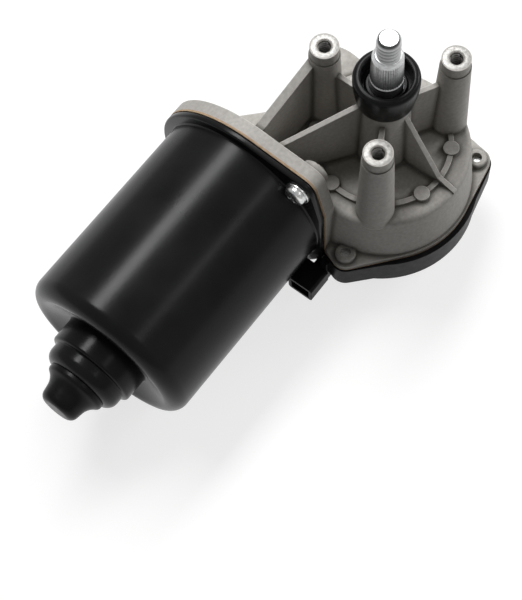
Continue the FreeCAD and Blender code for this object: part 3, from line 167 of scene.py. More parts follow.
def cast_finish():
    material, tree, shader = new_finish("as cast aluminium", (0.45, 0.43, 0.4), 0.06, 0.5)
    patches = blend_colours(tree, object_noise(tree, 1.3 * MM, 6), (0.4, 0.384, 0.358), (0.53, 0.511, 0.48),
                            (0.25, 0.75))
    corners = soften_edges(tree, 0.5 * MM)
    # The casting takes a painted highlight on its softened edges and painted shade in its corners.
    painted_light = paint_edge_highlight_and_hollow_shade(tree, patches, corners, (0.8, 0.78, 0.75), (0.19, 0.18, 0.16))
    tree.links.new(painted_light, shader.inputs["Base Color"])
    shader.inputs["Specular IOR Level"].default_value = 0.2
    spread_roughness(tree, shader, object_noise(tree, 2.5 * MM), 0.44, 0.64)
    sand = raise_grain(tree, shader, object_noise(tree, 0.7 * MM, 3), 0.06 * MM, 0.6, corners)
    raise_grain(tree, shader, object_noise(tree, 5 * MM, 4), 0.06 * MM, 0.4, sand)
    return material


cast_aluminium = cast_finish()
dress("gearbox_housing", cast_aluminium)


# Each mounting boss is faced off by a cutter, then drilled and tapped M6 for the bracket's bolts.
# The faced ring is bright and slightly mottled. The thread in the hole is painted darker than the face as
# painted shade, and its roots are near black painted shade.
BOSS_CIRCLE = 27.0 * MM
BOSS_ANGLES = (90, 210, 330)
FACE_OUTER = 4.75 * MM
THREAD_MAJOR = 2.95 * MM
THREAD_WALL = 2.46 * MM
THREAD_MINOR = 2.05 * MM
THREAD_PITCH = 1.35 * MM
THREAD_TURNS = 10
TURN_STEPS = 40


def profile_line(bm, points, closed=False):
    """A wire of (radius, height) points in the XZ plane."""
    verts = [bm.verts.new((r, 0, h)) for r, h in points]
    pairs = list(zip(verts, verts[1:]))
    if closed:
        pairs.append((verts[-1], verts[0]))
    edges = [bm.edges.new(pair) for pair in pairs]
    return verts, edges


def round_corners(bm, verts, radius, segments=5):
    bmesh.ops.bevel(bm, geom=verts, offset=radius, offset_type="OFFSET", segments=segments, profile=0.5,
                    affect="VERTICES", material=-1)


def spin_round(bm, steps=96):
    """Turns the wire about the Z axis into a closed skin."""
    bmesh.ops.spin(bm, geom=bm.verts[:] + bm.edges[:], cent=(0, 0, 0), axis=(0, 0, 1), angle=2 * math.pi,
                   steps=steps, use_merge=True)
    bmesh.ops.remove_doubles(bm, verts=bm.verts[:], dist=0.0005 * MM)
    bmesh.ops.recalc_face_normals(bm, faces=bm.faces[:])


def make_piece(name, bm, material, body, crease=32):
    """Ends a bmesh as a named object on its body."""
    mesh = bpy.data.meshes.new(name)
    bm.to_mesh(mesh)
    bm.free()
    mesh.polygons.foreach_set("use_smooth", [True] * len(mesh.polygons))
    mesh.set_sharp_from_angle(angle=math.radians(crease))
    mesh.materials.append(material)
    piece = bpy.data.objects.new(name, mesh)
    bpy.context.scene.collection.objects.link(piece)
    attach(piece, body)
    return piece


def faced_finish(name, dark, light):
    material, tree, shader = new_finish(name, light, 1.0, 0.38)
    tone = blend_colours(tree, object_noise(tree, 1.1 * MM, 4), dark, light)
    tree.links.new(tone, shader.inputs["Base Color"])
    spread_roughness(tree, shader, object_noise(tree, 1.2 * MM), 0.42, 0.58)
    raise_grain(tree, shader, object_noise(tree, 0.8 * MM, 3), 0.03 * MM, 0.5)
    return material


faced_aluminium = faced_finish("faced aluminium", (0.24, 0.235, 0.225), (0.38, 0.374, 0.36))
# The tapped finish is the faced aluminium painted darker as the hole's painted shade, and the roots' finish
# is near black painted shade.
tapped_aluminium_in_painted_shade = faced_finish("tapped aluminium", (0.15, 0.146, 0.138), (0.29, 0.283, 0.27))
thread_roots_painted_shade = faced_finish("thread roots in painted shade", (0.012, 0.011, 0.01), (0.03, 0.028, 0.025))

for number, angle in enumerate(BOSS_ANGLES, 1):
    ring = bmesh.new()
    profile_line(ring, [(THREAD_MAJOR - 0.45 * MM, -0.7 * MM), (THREAD_MAJOR + 0.25 * MM, 0.02 * MM),
                        (FACE_OUTER, 0.04 * MM), (FACE_OUTER + 0.18 * MM, -0.02 * MM),
                        (THREAD_MAJOR + 0.2 * MM, -0.5 * MM)], closed=True)
    spin_round(ring, 64)
    thread = bmesh.new()
    profile_line(thread, [(THREAD_WALL, 0), (THREAD_WALL, -THREAD_PITCH * 0.3),
                          (THREAD_MINOR, -THREAD_PITCH * 0.55), (THREAD_MINOR, -THREAD_PITCH * 0.7),
                          (THREAD_WALL, -THREAD_PITCH)])
    bmesh.ops.spin(thread, geom=thread.verts[:] + thread.edges[:], cent=(0, 0, 0), axis=(0, 0, 1),
                   dvec=(0, 0, -THREAD_PITCH / TURN_STEPS), angle=2 * math.pi * THREAD_TURNS,
                   steps=TURN_STEPS * THREAD_TURNS, use_merge=False)
    bmesh.ops.remove_doubles(thread, verts=thread.verts[:], dist=0.002 * MM)
    bmesh.ops.recalc_face_normals(thread, faces=thread.faces[:])
    bmesh.ops.translate(thread, verts=thread.verts[:], vec=(0, 0, -0.45 * MM))
    turn = math.radians(angle)
    place = Matrix.Translation((BOSS_CIRCLE * math.cos(turn), BOSS_CIRCLE * math.sin(turn), 0))
    for part in (ring, thread):
        bmesh.ops.transform(part, matrix=place, verts=part.verts[:])
    make_piece(f"boss_face_{number}", ring, faced_aluminium, "gearmotor")
    tapped = make_piece(f"boss_thread_{number}", thread, tapped_aluminium_in_painted_shade, "gearmotor")
    # Faces at the thread's roots take the near black painted shade.
    tapped.data.materials.append(thread_roots_painted_shade)
    for face in tapped.data.polygons:
        away = math.hypot(face.center.x - place.translation.x, face.center.y - place.translation.y)
        face.material_index = int(away > THREAD_WALL - 0.03 * MM)


# The output spindle is turned and ground steel: an M8 thread at its tip, a bare cone, then a knurled taper
# that bites into the crank arm, and a plain journal that runs down through the tower to the wheel.
SPINDLE_R = 6.0 * MM
SPINDLE_TIP = 30.0 * MM
TIP_THREAD_R = 4.35 * MM
TIP_THREAD_DEPTH = 0.8 * MM
TIP_THREAD_PITCH = 1.9 * MM
TIP_THREAD_FOOT = 20.6 * MM
TIP_CHAMFER = 1.1 * MM
CONE_FOOT = 18.6 * MM
CONE_TOP_R = 4.75 * MM
CONE_FOOT_R = 5.55 * MM
KNURL_FOOT = 5.8 * MM
KNURL_TEETH = 40
KNURL_DEPTH = 0.42 * MM
KNURL_GROOVE = (1.0, 0.45, 0.12, 0.45)
SPINDLE_FOOT = -66.0 * MM


def ground_finish():
    material, tree, shader = new_finish("ground steel", (0.62, 0.62, 0.61), 0.85, 0.3)
    streaks = object_noise(tree, 1.6 * MM, 4, (1, 1, 2.5))
    tone = blend_colours(tree, streaks, (0.52, 0.525, 0.53), (0.72, 0.725, 0.73))
    tree.links.new(tone, shader.inputs["Base Color"])
    spread_roughness(tree, shader, object_noise(tree, 1.4 * MM, 3), 0.3, 0.44)
    raise_grain(tree, shader, object_noise(tree, 1.2 * MM, 3, (1, 1, 2)), 0.02 * MM, 0.4)
    return material


def cut_screw_thread(bm, radius, depth, pitch, low, high, steps=48):
    """A V thread standing on a rod, as one ribbon wound from low to high, with its ends cut square."""
    turns = math.ceil((high - low) / pitch) + 2
    crest = pitch * 0.06
    wire, edges = profile_line(bm, [(radius - depth, low - pitch), (radius, low - pitch / 2 - crest),
                                    (radius, low - pitch / 2 + crest), (radius - depth, low)])
    bmesh.ops.spin(bm, geom=wire + edges, cent=(0, 0, 0), axis=(0, 0, 1), dvec=(0, 0, pitch / steps),
                   angle=2 * math.pi * turns, steps=steps * turns, use_merge=False)
    bmesh.ops.remove_doubles(bm, verts=bm.verts[:], dist=0.001 * MM)
    for height, side in ((low, -1), (high, 1)):
        cut = bmesh.ops.bisect_plane(bm, geom=bm.verts[:] + bm.edges[:] + bm.faces[:], dist=1e-7,
                                     plane_co=(0, 0, height), plane_no=(0, 0, side), clear_outer=True)
        rim = [e for e in cut["geom_cut"] if isinstance(e, bmesh.types.BMEdge)]
        bmesh.ops.contextual_create(bm, geom=rim)
    bmesh.ops.recalc_face_normals(bm, faces=bm.faces[:])


def threaded_finish():
    """The same steel, painted dark in the thread's roots as painted shade and pale on its crests as painted
    highlight.
    """
    material, tree, shader = new_finish("threaded steel", (0.7, 0.7, 0.7), 0.45, 0.3)
    place = tree.nodes.new("ShaderNodeTexCoord")
    flat = tree.nodes.new("ShaderNodeVectorMath")
    flat.operation = "MULTIPLY"
    flat.inputs[1].default_value = (1, 1, 0)
    reach = tree.nodes.new("ShaderNodeVectorMath")
    reach.operation = "LENGTH"
    span = tree.nodes.new("ShaderNodeMapRange")
    span.inputs["From Min"].default_value = TIP_THREAD_R - TIP_THREAD_DEPTH
    span.inputs["From Max"].default_value = TIP_THREAD_R
    tree.links.new(place.outputs["Object"], flat.inputs[0])
    tree.links.new(flat.outputs["Vector"], reach.inputs[0])
    tree.links.new(reach.outputs["Value"], span.inputs["Value"])
    # By distance from the axis: painted shade in the roots, painted highlight on the crests.
    tone = blend_colours(tree, span.outputs["Result"], (0.1, 0.103, 0.106), (0.82, 0.825, 0.83), (0.1, 0.7))
    tree.links.new(tone, shader.inputs["Base Color"])
    spread_roughness(tree, shader, object_noise(tree, 1.4 * MM, 3), 0.3, 0.42)
    return material


ground_steel = ground_finish()
threaded_steel = threaded_finish()
end_face = SPINDLE_TIP - 0.02 * MM
spindle = bmesh.new()
cut_screw_thread(spindle, TIP_THREAD_R, TIP_THREAD_DEPTH, TIP_THREAD_PITCH, TIP_THREAD_FOOT - 0.3 * MM,
                 SPINDLE_TIP)
for vert in spindle.verts:
    reach = math.hypot(vert.co.x, vert.co.y)
    limit = TIP_THREAD_R - TIP_CHAMFER + (SPINDLE_TIP - vert.co.z)
    if reach > limit:
        vert.co.x *= limit / reach
        vert.co.y *= limit / reach
tip_thread = make_piece("spindle_thread", spindle, threaded_steel, "output", 40)
tip_thread.data.materials.append(ground_steel)
for face in tip_thread.data.polygons:
    face.material_index = int(face.center.z > end_face)

spindle = bmesh.new()
corners, _ = profile_line(spindle, [
    (0, TIP_THREAD_FOOT), (TIP_THREAD_R - TIP_THREAD_DEPTH, TIP_THREAD_FOOT),
    (CONE_TOP_R, TIP_THREAD_FOOT - 0.25 * MM), (CONE_FOOT_R - 0.15 * MM, CONE_FOOT + 0.3 * MM),
    (CONE_FOOT_R, CONE_FOOT), (CONE_FOOT_R - KNURL_DEPTH, CONE_FOOT - 0.2 * MM),
    (SPINDLE_R - KNURL_DEPTH, KNURL_FOOT + 0.2 * MM), (SPINDLE_R, KNURL_FOOT - 0.2 * MM),
    (SPINDLE_R, SPINDLE_FOOT + 1 * MM), (SPINDLE_R - 1 * MM, SPINDLE_FOOT), (0, SPINDLE_FOOT)])
round_corners(spindle, corners[2:3], 0.35 * MM)
spin_round(spindle, 96)
turned_spindle = make_piece("spindle", spindle, ground_steel, "output")
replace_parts(turned_spindle, "output_shaft")

knurl = bmesh.new()
ridge = bmesh.ops.create_circle(knurl, cap_ends=False, radius=1.0,
                                segments=KNURL_TEETH * len(KNURL_GROOVE))["verts"]
for i, vert in enumerate(ridge):
    vert.co *= SPINDLE_R - KNURL_DEPTH * KNURL_GROOVE[i % len(KNURL_GROOVE)]
    vert.co.z = KNURL_FOOT
rows = [(KNURL_FOOT - 0.35 * MM, 0.93), (KNURL_FOOT + 0.35 * MM, 1.0), (CONE_FOOT - 0.5 * MM, 0.945),
        (CONE_FOOT + 0.05 * MM, 0.88)]
loop = knurl.edges[:]
bmesh.ops.translate(knurl, verts=ridge, vec=(0, 0, rows[0][0] - KNURL_FOOT))
bmesh.ops.scale(knurl, verts=ridge, vec=(rows[0][1], rows[0][1], 1))
width = rows[0][1]
for height, next_width in rows[1:]:
    raised = bmesh.ops.extrude_edge_only(knurl, edges=loop)["geom"]
    verts = [g for g in raised if isinstance(g, bmesh.types.BMVert)]
    loop = [g for g in raised if isinstance(g, bmesh.types.BMEdge) and all(v in verts for v in g.verts)]
    lift = height - verts[0].co.z
    bmesh.ops.translate(knurl, verts=verts, vec=(0, 0, lift))
    bmesh.ops.scale(knurl, verts=verts, vec=(next_width / width, next_width / width, 1))
    width = next_width
bmesh.ops.holes_fill(knurl, edges=knurl.edges[:])
bmesh.ops.recalc_face_normals(knurl, faces=knurl.faces[:])
make_piece("spindle_knurl", knurl, ground_steel, "output", 20)


# A black rubber collar grips the tower's top and stands up round the spindle as a cup that keeps rain out.
# It is moulded, with a rounded lip and a satin skin that is dustier in random patches.
COLLAR_R = 12.0 * MM
COLLAR_FOOT_R = 10.6 * MM
COLLAR_TOP = 6.5 * MM
COLLAR_FOOT = -8.0 * MM
COLLAR_MOUTH_R = 9.1 * MM
COLLAR_BULGE = 0.5 * MM
COLLAR_WAIST = 1.0 * MM
TOWER_R = 9.2 * MM
TOWER_TOP = -4.0 * MM


def rubber_finish(name, colour, roughness):
    material, tree, shader = new_finish(name, colour, 0.0, roughness)
    pale = [c * 1.8 + 0.003 for c in colour]
    tone = blend_colours(tree, object_noise(tree, 6 * MM, 6), colour, pale, (0.45, 0.8))
    tree.links.new(tone, shader.inputs["Base Color"])
    spread_roughness(tree, shader, object_noise(tree, 2 * MM), roughness - 0.07, roughness + 0.12)
    shader.inputs["Specular IOR Level"].default_value = 0.13
    raise_grain(tree, shader, object_noise(tree, 0.9 * MM, 3), 0.015 * MM, 0.5)
    return material


collar_rubber = rubber_finish("satin black rubber", (0.005, 0.005, 0.0055), 0.28)
collar = bmesh.new()
corners, _ = profile_line(collar, [
    (TOWER_R + 0.15 * MM, COLLAR_FOOT), (COLLAR_FOOT_R, COLLAR_FOOT), (COLLAR_R, COLLAR_BULGE),
    (COLLAR_R, COLLAR_TOP), (COLLAR_MOUTH_R, COLLAR_TOP), (COLLAR_MOUTH_R, COLLAR_WAIST),
    (TOWER_R, COLLAR_WAIST), (TOWER_R, TOWER_TOP)], closed=True)
round_corners(collar, corners[3:4], 1.9 * MM, 12)
round_corners(collar, corners[4:5], 0.8 * MM, 7)
round_corners(collar, corners[2:3], 2.8 * MM, 9)
round_corners(collar, corners[1:2], 0.6 * MM, 5)
spin_round(collar, 112)
moulded_collar = make_piece("collar", collar, collar_rubber, "gearmotor")
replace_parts(moulded_collar, "shaft_collar")
dress("shaft_seal", collar_rubber)


# Inside the tower the spindle turns in two oiled bronze bushes, held by a washer and a sprung ring.
# These are stock parts: pressed bronze with open pores, and blued spring steel.
def bronze_finish():
    material, tree, shader = new_finish("oiled bronze", (0.42, 0.26, 0.12), 0.9, 0.4)
    tone = blend_colours(tree, object_noise(tree, 1.1 * MM, 5), (0.30, 0.18, 0.08), (0.48, 0.31, 0.15))
    tree.links.new(tone, shader.inputs["Base Color"])
    raise_grain(tree, shader, object_noise(tree, 0.2 * MM, 3), 0.02 * MM, 0.6)
    return material


def sprung_finish():
    material, tree, shader = new_finish("spring steel", (0.34, 0.35, 0.37), 1.0, 0.33)
    tone = blend_colours(tree, object_noise(tree, 3 * MM, 4), (0.25, 0.26, 0.29), (0.42, 0.42, 0.43))
    tree.links.new(tone, shader.inputs["Base Color"])
    raise_grain(tree, shader, object_noise(tree, 0.4 * MM, 3, (1, 6, 6)), 0.01 * MM, 0.5)
    return material


def zinc_finish():
    material, tree, shader = new_finish("bright zinc plate", (0.72, 0.72, 0.71), 1.0, 0.24)
    tone = blend_colours(tree, object_noise(tree, 2.2 * MM, 5), (0.60, 0.61, 0.62), (0.78, 0.78, 0.76))
    tree.links.new(tone, shader.inputs["Base Color"])
    spread_roughness(tree, shader, object_noise(tree, 1.0 * MM), 0.16, 0.36)
    raise_grain(tree, shader, object_noise(tree, 0.9 * MM, 3), 0.02 * MM, 0.5)
    return material


oiled_bronze = bronze_finish()
spring_steel = sprung_finish()
zinc_plate = zinc_finish()
for node in ("upper_shaft_bush", "lower_shaft_bush", "front_bearing", "rear_bearing"):
    dress(node, oiled_bronze)
for node in ("retaining_ring", "magnet_clips", "brush_springs", "bearing_retainer"):
    dress(node, spring_steel)
for node in ("upper_washer", "wheel_washer", "thrust_screw", "lock_nut"):
    dress(node, zinc_plate)


# The worm wheel is moulded in pale acetal round a steel hub, with a stamped brass disc on its underside
# that tells the switch where the arm is parked. Three sprung brass fingers on the cover wipe that disc.
def acetal_finish():
    material, tree, shader = new_finish("natural acetal", (0.72, 0.70, 0.62), 0.0, 0.42)
    tone = blend_colours(tree, object_noise(tree, 8 * MM, 4), (0.66, 0.64, 0.55), (0.76, 0.74, 0.67))
    tree.links.new(tone, shader.inputs["Base Color"])
    shader.inputs["Subsurface Weight"].default_value = 0.15
    shader.inputs["Subsurface Radius"].default_value = (1.2 * MM, 1.0 * MM, 0.7 * MM)
    raise_grain(tree, shader, object_noise(tree, 0.5 * MM, 3), 0.01 * MM, 0.5)
    return material


def brass_finish():
    material, tree, shader = new_finish("stamped brass", (0.62, 0.44, 0.17), 1.0, 0.3)
    tone = blend_colours(tree, object_noise(tree, 2 * MM, 5), (0.52, 0.36, 0.13), (0.70, 0.52, 0.24))
    tree.links.new(tone, shader.inputs["Base Color"])
    raise_grain(tree, shader, object_noise(tree, 0.3 * MM, 3, (1, 5, 1)), 0.008 * MM, 0.5)
    return material


natural_acetal = acetal_finish()
stamped_brass = brass_finish()
for node in ("gear_wheel", "thrust_pad"):
    dress(node, natural_acetal)
for node in ("park_disc", "park_contacts", "brush_holders", "connector_terminals"):
    dress(node, stamped_brass)


# The armature is a stack of punched steel sheets on a ground shaft, wound with red-brown enamelled wire
# and finished with a copper commutator. The worm is rolled into the far end of the same shaft.
def lamination_finish():
    material, tree, shader = new_finish("stacked sheet steel", (0.24, 0.24, 0.25), 0.9, 0.42)
    sheets = object_noise(tree, 0.5 * MM, 1, (1, 0.02, 0.02))
    tone = blend_colours(tree, sheets, (0.16, 0.16, 0.17), (0.34, 0.34, 0.35))
    tree.links.new(tone, shader.inputs["Base Color"])
    raise_grain(tree, shader, sheets, 0.05 * MM, 0.8)
    return material


def winding_finish():
    material, tree, shader = new_finish("enamelled copper wire", (0.36, 0.09, 0.03), 0.55, 0.3)
    strands = object_noise(tree, 0.9 * MM, 2, (0.15, 1, 1))
    tone = blend_colours(tree, strands, (0.22, 0.05, 0.015), (0.5, 0.15, 0.05))
    tree.links.new(tone, shader.inputs["Base Color"])
    shader.inputs["Coat Weight"].default_value = 0.5
    raise_grain(tree, shader, strands, 0.25 * MM, 0.9)
    return material


def copper_finish():
    material, tree, shader = new_finish("turned copper", (0.68, 0.32, 0.17), 1.0, 0.28)
    wear = object_noise(tree, 0.7 * MM, 3, (4, 1, 1))
    tone = blend_colours(tree, wear, (0.5, 0.21, 0.1), (0.74, 0.38, 0.21))
    tree.links.new(tone, shader.inputs["Base Color"])
    return material


def moulded_finish(name, dark, light, roughness):
    material, tree, shader = new_finish(name, dark, 0.0, roughness)
    tone = blend_colours(tree, object_noise(tree, 1.6 * MM, 5), dark, light)
    tree.links.new(tone, shader.inputs["Base Color"])
    raise_grain(tree, shader, object_noise(tree, 0.4 * MM, 3), 0.015 * MM, 0.6)
    return material


enamelled_wire = winding_finish()
phenolic = moulded_finish("brown phenolic", (0.13, 0.06, 0.025), (0.2, 0.1, 0.045), 0.45)
dress("armature_shaft", ground_steel)
dress("armature_core", lamination_finish())
dress("armature_windings", enamelled_wire)
dress("commutator_bars", copper_finish())
dress("commutator_hub", phenolic)


# The field and the brush gear: two ground ferrite arcs sprung apart by steel strips, a phenolic disc with
# brass brush tubes, pressed carbon brushes and two small wound chokes that quieten the motor's sparks.
dress("magnets", moulded_finish("ground ferrite", (0.045, 0.045, 0.05), (0.09, 0.09, 0.095), 0.5))
dress("brush_plate", phenolic)
dress("carbon_brushes", moulded_finish("pressed carbon", (0.025, 0.025, 0.027), (0.05, 0.05, 0.052), 0.35))
dress("suppressor_chokes", enamelled_wire)


# The motor can is drawn from sheet steel, then dipped and stoved in gloss black. A stepped nose is pressed
# into its dished end for the rear bush, and its open end is folded out into a plate with two screw ears.
MOTOR_Y = 35.0 * MM
MOTOR_Z = -56.0 * MM
CAN_R = 35.25 * MM
CAN_PLATE_FRONT = -41.4 * MM
CAN_PLATE_BACK = -38.8 * MM
CAN_END = -125.5 * MM
CAN_WALL = 1.6 * MM
CAN_INNER_R = CAN_R - CAN_WALL
CAN_DISH_R = 28.3 * MM
PLATE_R = 39.5 * MM
PLATE_FLAT = -1.8 * MM
EAR_CIRCLE = 40.4 * MM
EAR_ANGLES = (132, 312)
EAR_R = 6.6 * MM
NOSE_R = 17.5 * MM
NOSE_BULGE_R = 15.6 * MM
NOSE_ROOT = -122.0 * MM
NOSE_STEP = -132.5 * MM
NOSE_END = -140.0 * MM
NOSE_OPENING_R = 10.0 * MM


def paint_finish():
    material, tree, shader = new_finish("stoved gloss black", (0.006, 0.006, 0.0065), 0.0, 0.22)
    orange_peel = object_noise(tree, 1.3 * MM, 4)
    spread_roughness(tree, shader, object_noise(tree, 14 * MM, 5), 0.2, 0.3)
    shader.inputs["Specular IOR Level"].default_value = 0.16
    tone = blend_colours(tree, object_noise(tree, 20 * MM, 5), (0.004, 0.004, 0.0045), (0.009, 0.009, 0.0095))
    tree.links.new(tone, shader.inputs["Base Color"])
    raise_grain(tree, shader, orange_peel, 0.03 * MM, 0.4)
    return material


def lay_along_motor(bm):
    """From the Z axis, where a piece is turned, to the motor's own axis."""
    place = Matrix.Translation((0, MOTOR_Y, MOTOR_Z)) @ Matrix.Rotation(math.radians(90), 4, "Y")
    bmesh.ops.transform(bm, matrix=place, verts=bm.verts[:])


def ear_centre(angle):
    turn = math.radians(angle)
    return MOTOR_Y + EAR_CIRCLE * math.cos(turn), MOTOR_Z + EAR_CIRCLE * math.sin(turn)


def eared_plate(bm, back, front, radius, ear_radius, rounding):
    """A plate like a belt round its circle and two ears, with a flat on the connector's side."""
    across = Matrix.Rotation(math.radians(90), 4, "Y")
    discs = [(MOTOR_Y, MOTOR_Z, radius, 144)] + [(*ear_centre(a), ear_radius, 48) for a in EAR_ANGLES]
    for y, z, disc_radius, segments in discs:
        for x in (back, front):
            bmesh.ops.create_circle(bm, cap_ends=False, radius=disc_radius, segments=segments,
                                    matrix=Matrix.Translation((x, y, z)) @ across)
    hull = bmesh.ops.convex_hull(bm, input=bm.verts[:])
    spare = [g for g in hull["geom_interior"] + hull["geom_unused"] if isinstance(g, bmesh.types.BMVert)]
    bmesh.ops.delete(bm, geom=list(set(spare)), context="VERTS")
    bmesh.ops.delete(bm, geom=[e for e in bm.edges if not e.link_faces], context="EDGES")
    bmesh.ops.dissolve_limit(bm, angle_limit=math.radians(0.5), verts=bm.verts[:], edges=bm.edges[:])
    cut = bmesh.ops.bisect_plane(bm, geom=bm.verts[:] + bm.edges[:] + bm.faces[:], dist=1e-7,
                                 plane_co=(0, PLATE_FLAT, 0), plane_no=(0, -1, 0), clear_outer=True)
    bmesh.ops.contextual_create(bm, geom=[e for e in cut["geom_cut"] if isinstance(e, bmesh.types.BMEdge)])
    rim = [e for e in bm.edges if e.calc_face_angle(0) > math.radians(60)]
    bmesh.ops.bevel(bm, geom=rim, offset=rounding, offset_type="OFFSET", segments=3, profile=0.5,
                    affect="EDGES", material=-1)
    bmesh.ops.recalc_face_normals(bm, faces=bm.faces[:])


black_paint = paint_finish()
shell = bmesh.new()
corners, _ = profile_line(shell, [
    (CAN_INNER_R, CAN_PLATE_BACK - 0.4 * MM), (CAN_R + CAN_WALL, CAN_PLATE_FRONT + 0.3 * MM),
    (CAN_R, CAN_PLATE_FRONT - 0.1 * MM), (CAN_R, CAN_END), (CAN_DISH_R, CAN_END), (NOSE_R, NOSE_ROOT),
    (NOSE_R, NOSE_STEP), (NOSE_BULGE_R, NOSE_STEP - 0.6 * MM), (NOSE_BULGE_R, NOSE_END),
    (NOSE_OPENING_R, NOSE_END), (NOSE_OPENING_R, NOSE_END + CAN_WALL),
    (NOSE_BULGE_R - 2 * MM, NOSE_END + 1.8 * MM), (NOSE_BULGE_R - CAN_WALL, NOSE_STEP + 1.5 * MM),
    (NOSE_R - CAN_WALL, NOSE_STEP + CAN_WALL), (NOSE_R - CAN_WALL, NOSE_ROOT + CAN_WALL),
    (CAN_INNER_R - 4.4 * MM, CAN_END + CAN_WALL), (CAN_INNER_R, CAN_END + 6 * MM)], closed=True)
round_corners(shell, corners[3:4], 6.0 * MM, 12)
round_corners(shell, corners[8:9], 4.2 * MM, 9)
round_corners(shell, corners[5:6], 1.1 * MM, 6)
round_corners(shell, corners[6:7], 0.8 * MM, 5)
round_corners(shell, corners[7:8], 0.3 * MM, 3)
round_corners(shell, corners[2:3], 0.6 * MM, 4)
round_corners(shell, corners[4:5], 1.5 * MM, 6)
spin_round(shell, 192)
lay_along_motor(shell)
drawn_shell = make_piece("can_shell", shell, black_paint, "gearmotor")
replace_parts(drawn_shell, "motor_can")

plate = bmesh.new()
eared_plate(plate, CAN_PLATE_BACK, CAN_PLATE_FRONT, PLATE_R, EAR_R, 0.8 * MM)
make_piece("can_plate", plate, black_paint, "gearmotor", 40)


# A rubber plug closes the nose round the shaft's end. Its lip snaps inside the nose's hole. Outside, it has a
# flat rim and a stub that narrows in a hollow curve to a blunt tip, all in one satin moulding.
PLUG_RIM_R = 12.0 * MM
PLUG_RIM_LENGTH = 1.8 * MM
PLUG_LIP = 2.4 * MM
PLUG_NECK_R = 8.7 * MM
PLUG_TIP_R = 7.4 * MM
PLUG_END = -152.0 * MM

plug = bmesh.new()
corners, _ = profile_line(plug, [
    (0, NOSE_END + PLUG_LIP), (NOSE_OPENING_R, NOSE_END + PLUG_LIP),
    (NOSE_OPENING_R - 0.2 * MM, NOSE_END + 0.4 * MM), (PLUG_RIM_R, NOSE_END),
    (PLUG_RIM_R, NOSE_END - PLUG_RIM_LENGTH), (PLUG_NECK_R, NOSE_END - PLUG_RIM_LENGTH - 2.4 * MM),
    (PLUG_TIP_R, PLUG_END), (0, PLUG_END)])
round_corners(plug, corners[4:5], 0.8 * MM, 5)
round_corners(plug, corners[5:6], 2.4 * MM, 7)
round_corners(plug, corners[6:7], 2.5 * MM, 8)
spin_round(plug, 96)
lay_along_motor(plug)
nose_plug = make_piece("nose_plug", plug, collar_rubber, "gearmotor")
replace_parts(nose_plug, "end_cap")


# The worm's outer end turns in a short bronze bush in the tunnel. Its edges are chamfered, so that it slides
# in easily and keeps clear of the wheel's teeth as they pass.
END_BUSH_R = 6.4 * MM
END_BUSH_BORE_R = 3.45 * MM
END_BUSH_REAR = 12.5 * MM
END_BUSH_FRONT = 17.5 * MM

bush = bmesh.new()
corners, _ = profile_line(bush, [
    (END_BUSH_BORE_R, END_BUSH_REAR), (END_BUSH_R, END_BUSH_REAR), (END_BUSH_R, END_BUSH_FRONT),
    (END_BUSH_BORE_R, END_BUSH_FRONT)], closed=True)
round_corners(bush, corners[1:3], 0.5 * MM, 1)
spin_round(bush, 72)
lay_along_motor(bush)
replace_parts(make_piece("worm_end_bush", bush, oiled_bronze, "gearmotor"),
            "worm_end_bearing")


# A sheet of pressed tan fibre seals the can against the gearbox, and a second one lies under the gear cover.
# Their cut edges show as thin warm lines, slightly fuzzy and darker where oil has crept in.
def fibre_finish():
    material, tree, shader = new_finish("pressed tan fibre", (0.33, 0.2, 0.1), 0.0, 0.8)
    fibres = object_noise(tree, 0.35 * MM, 5, (1, 0.2, 0.2))
    tone = blend_colours(tree, fibres, (0.36, 0.24, 0.14), (0.56, 0.41, 0.27))
    tree.links.new(tone, shader.inputs["Base Color"])
    raise_grain(tree, shader, fibres, 0.06 * MM, 0.8)
    return material


tan_fibre = fibre_finish()
dress("flange_gasket", tan_fibre)
dress("cover_gasket", tan_fibre)


# Two zinc-plated pan screws with cross recesses and captive washers clamp the can, its gasket and the ears of
# the housing. Three more of the same make, only smaller, hold the gear cover from below.
FLANGE_HEAD_R = 5.0 * MM
FLANGE_HEAD_HEIGHT = 3.6 * MM
FLANGE_SHANK_R = 2.5 * MM
FLANGE_SHANK_LENGTH = 11.0 * MM
FLANGE_CROSS_TURN = math.radians(28)
COVER_SCREW_CIRCLE = 37.6 * MM
COVER_SCREW_ANGLES = (45, 195, 315)
COVER_HEAD_R = 3.7 * MM
COVER_HEAD_HEIGHT = 2.4 * MM
COVER_SHANK_R = 2.0 * MM
COVER_SHANK_LENGTH = 13.3 * MM
COVER_HEAD_SEAT = -79.5 * MM


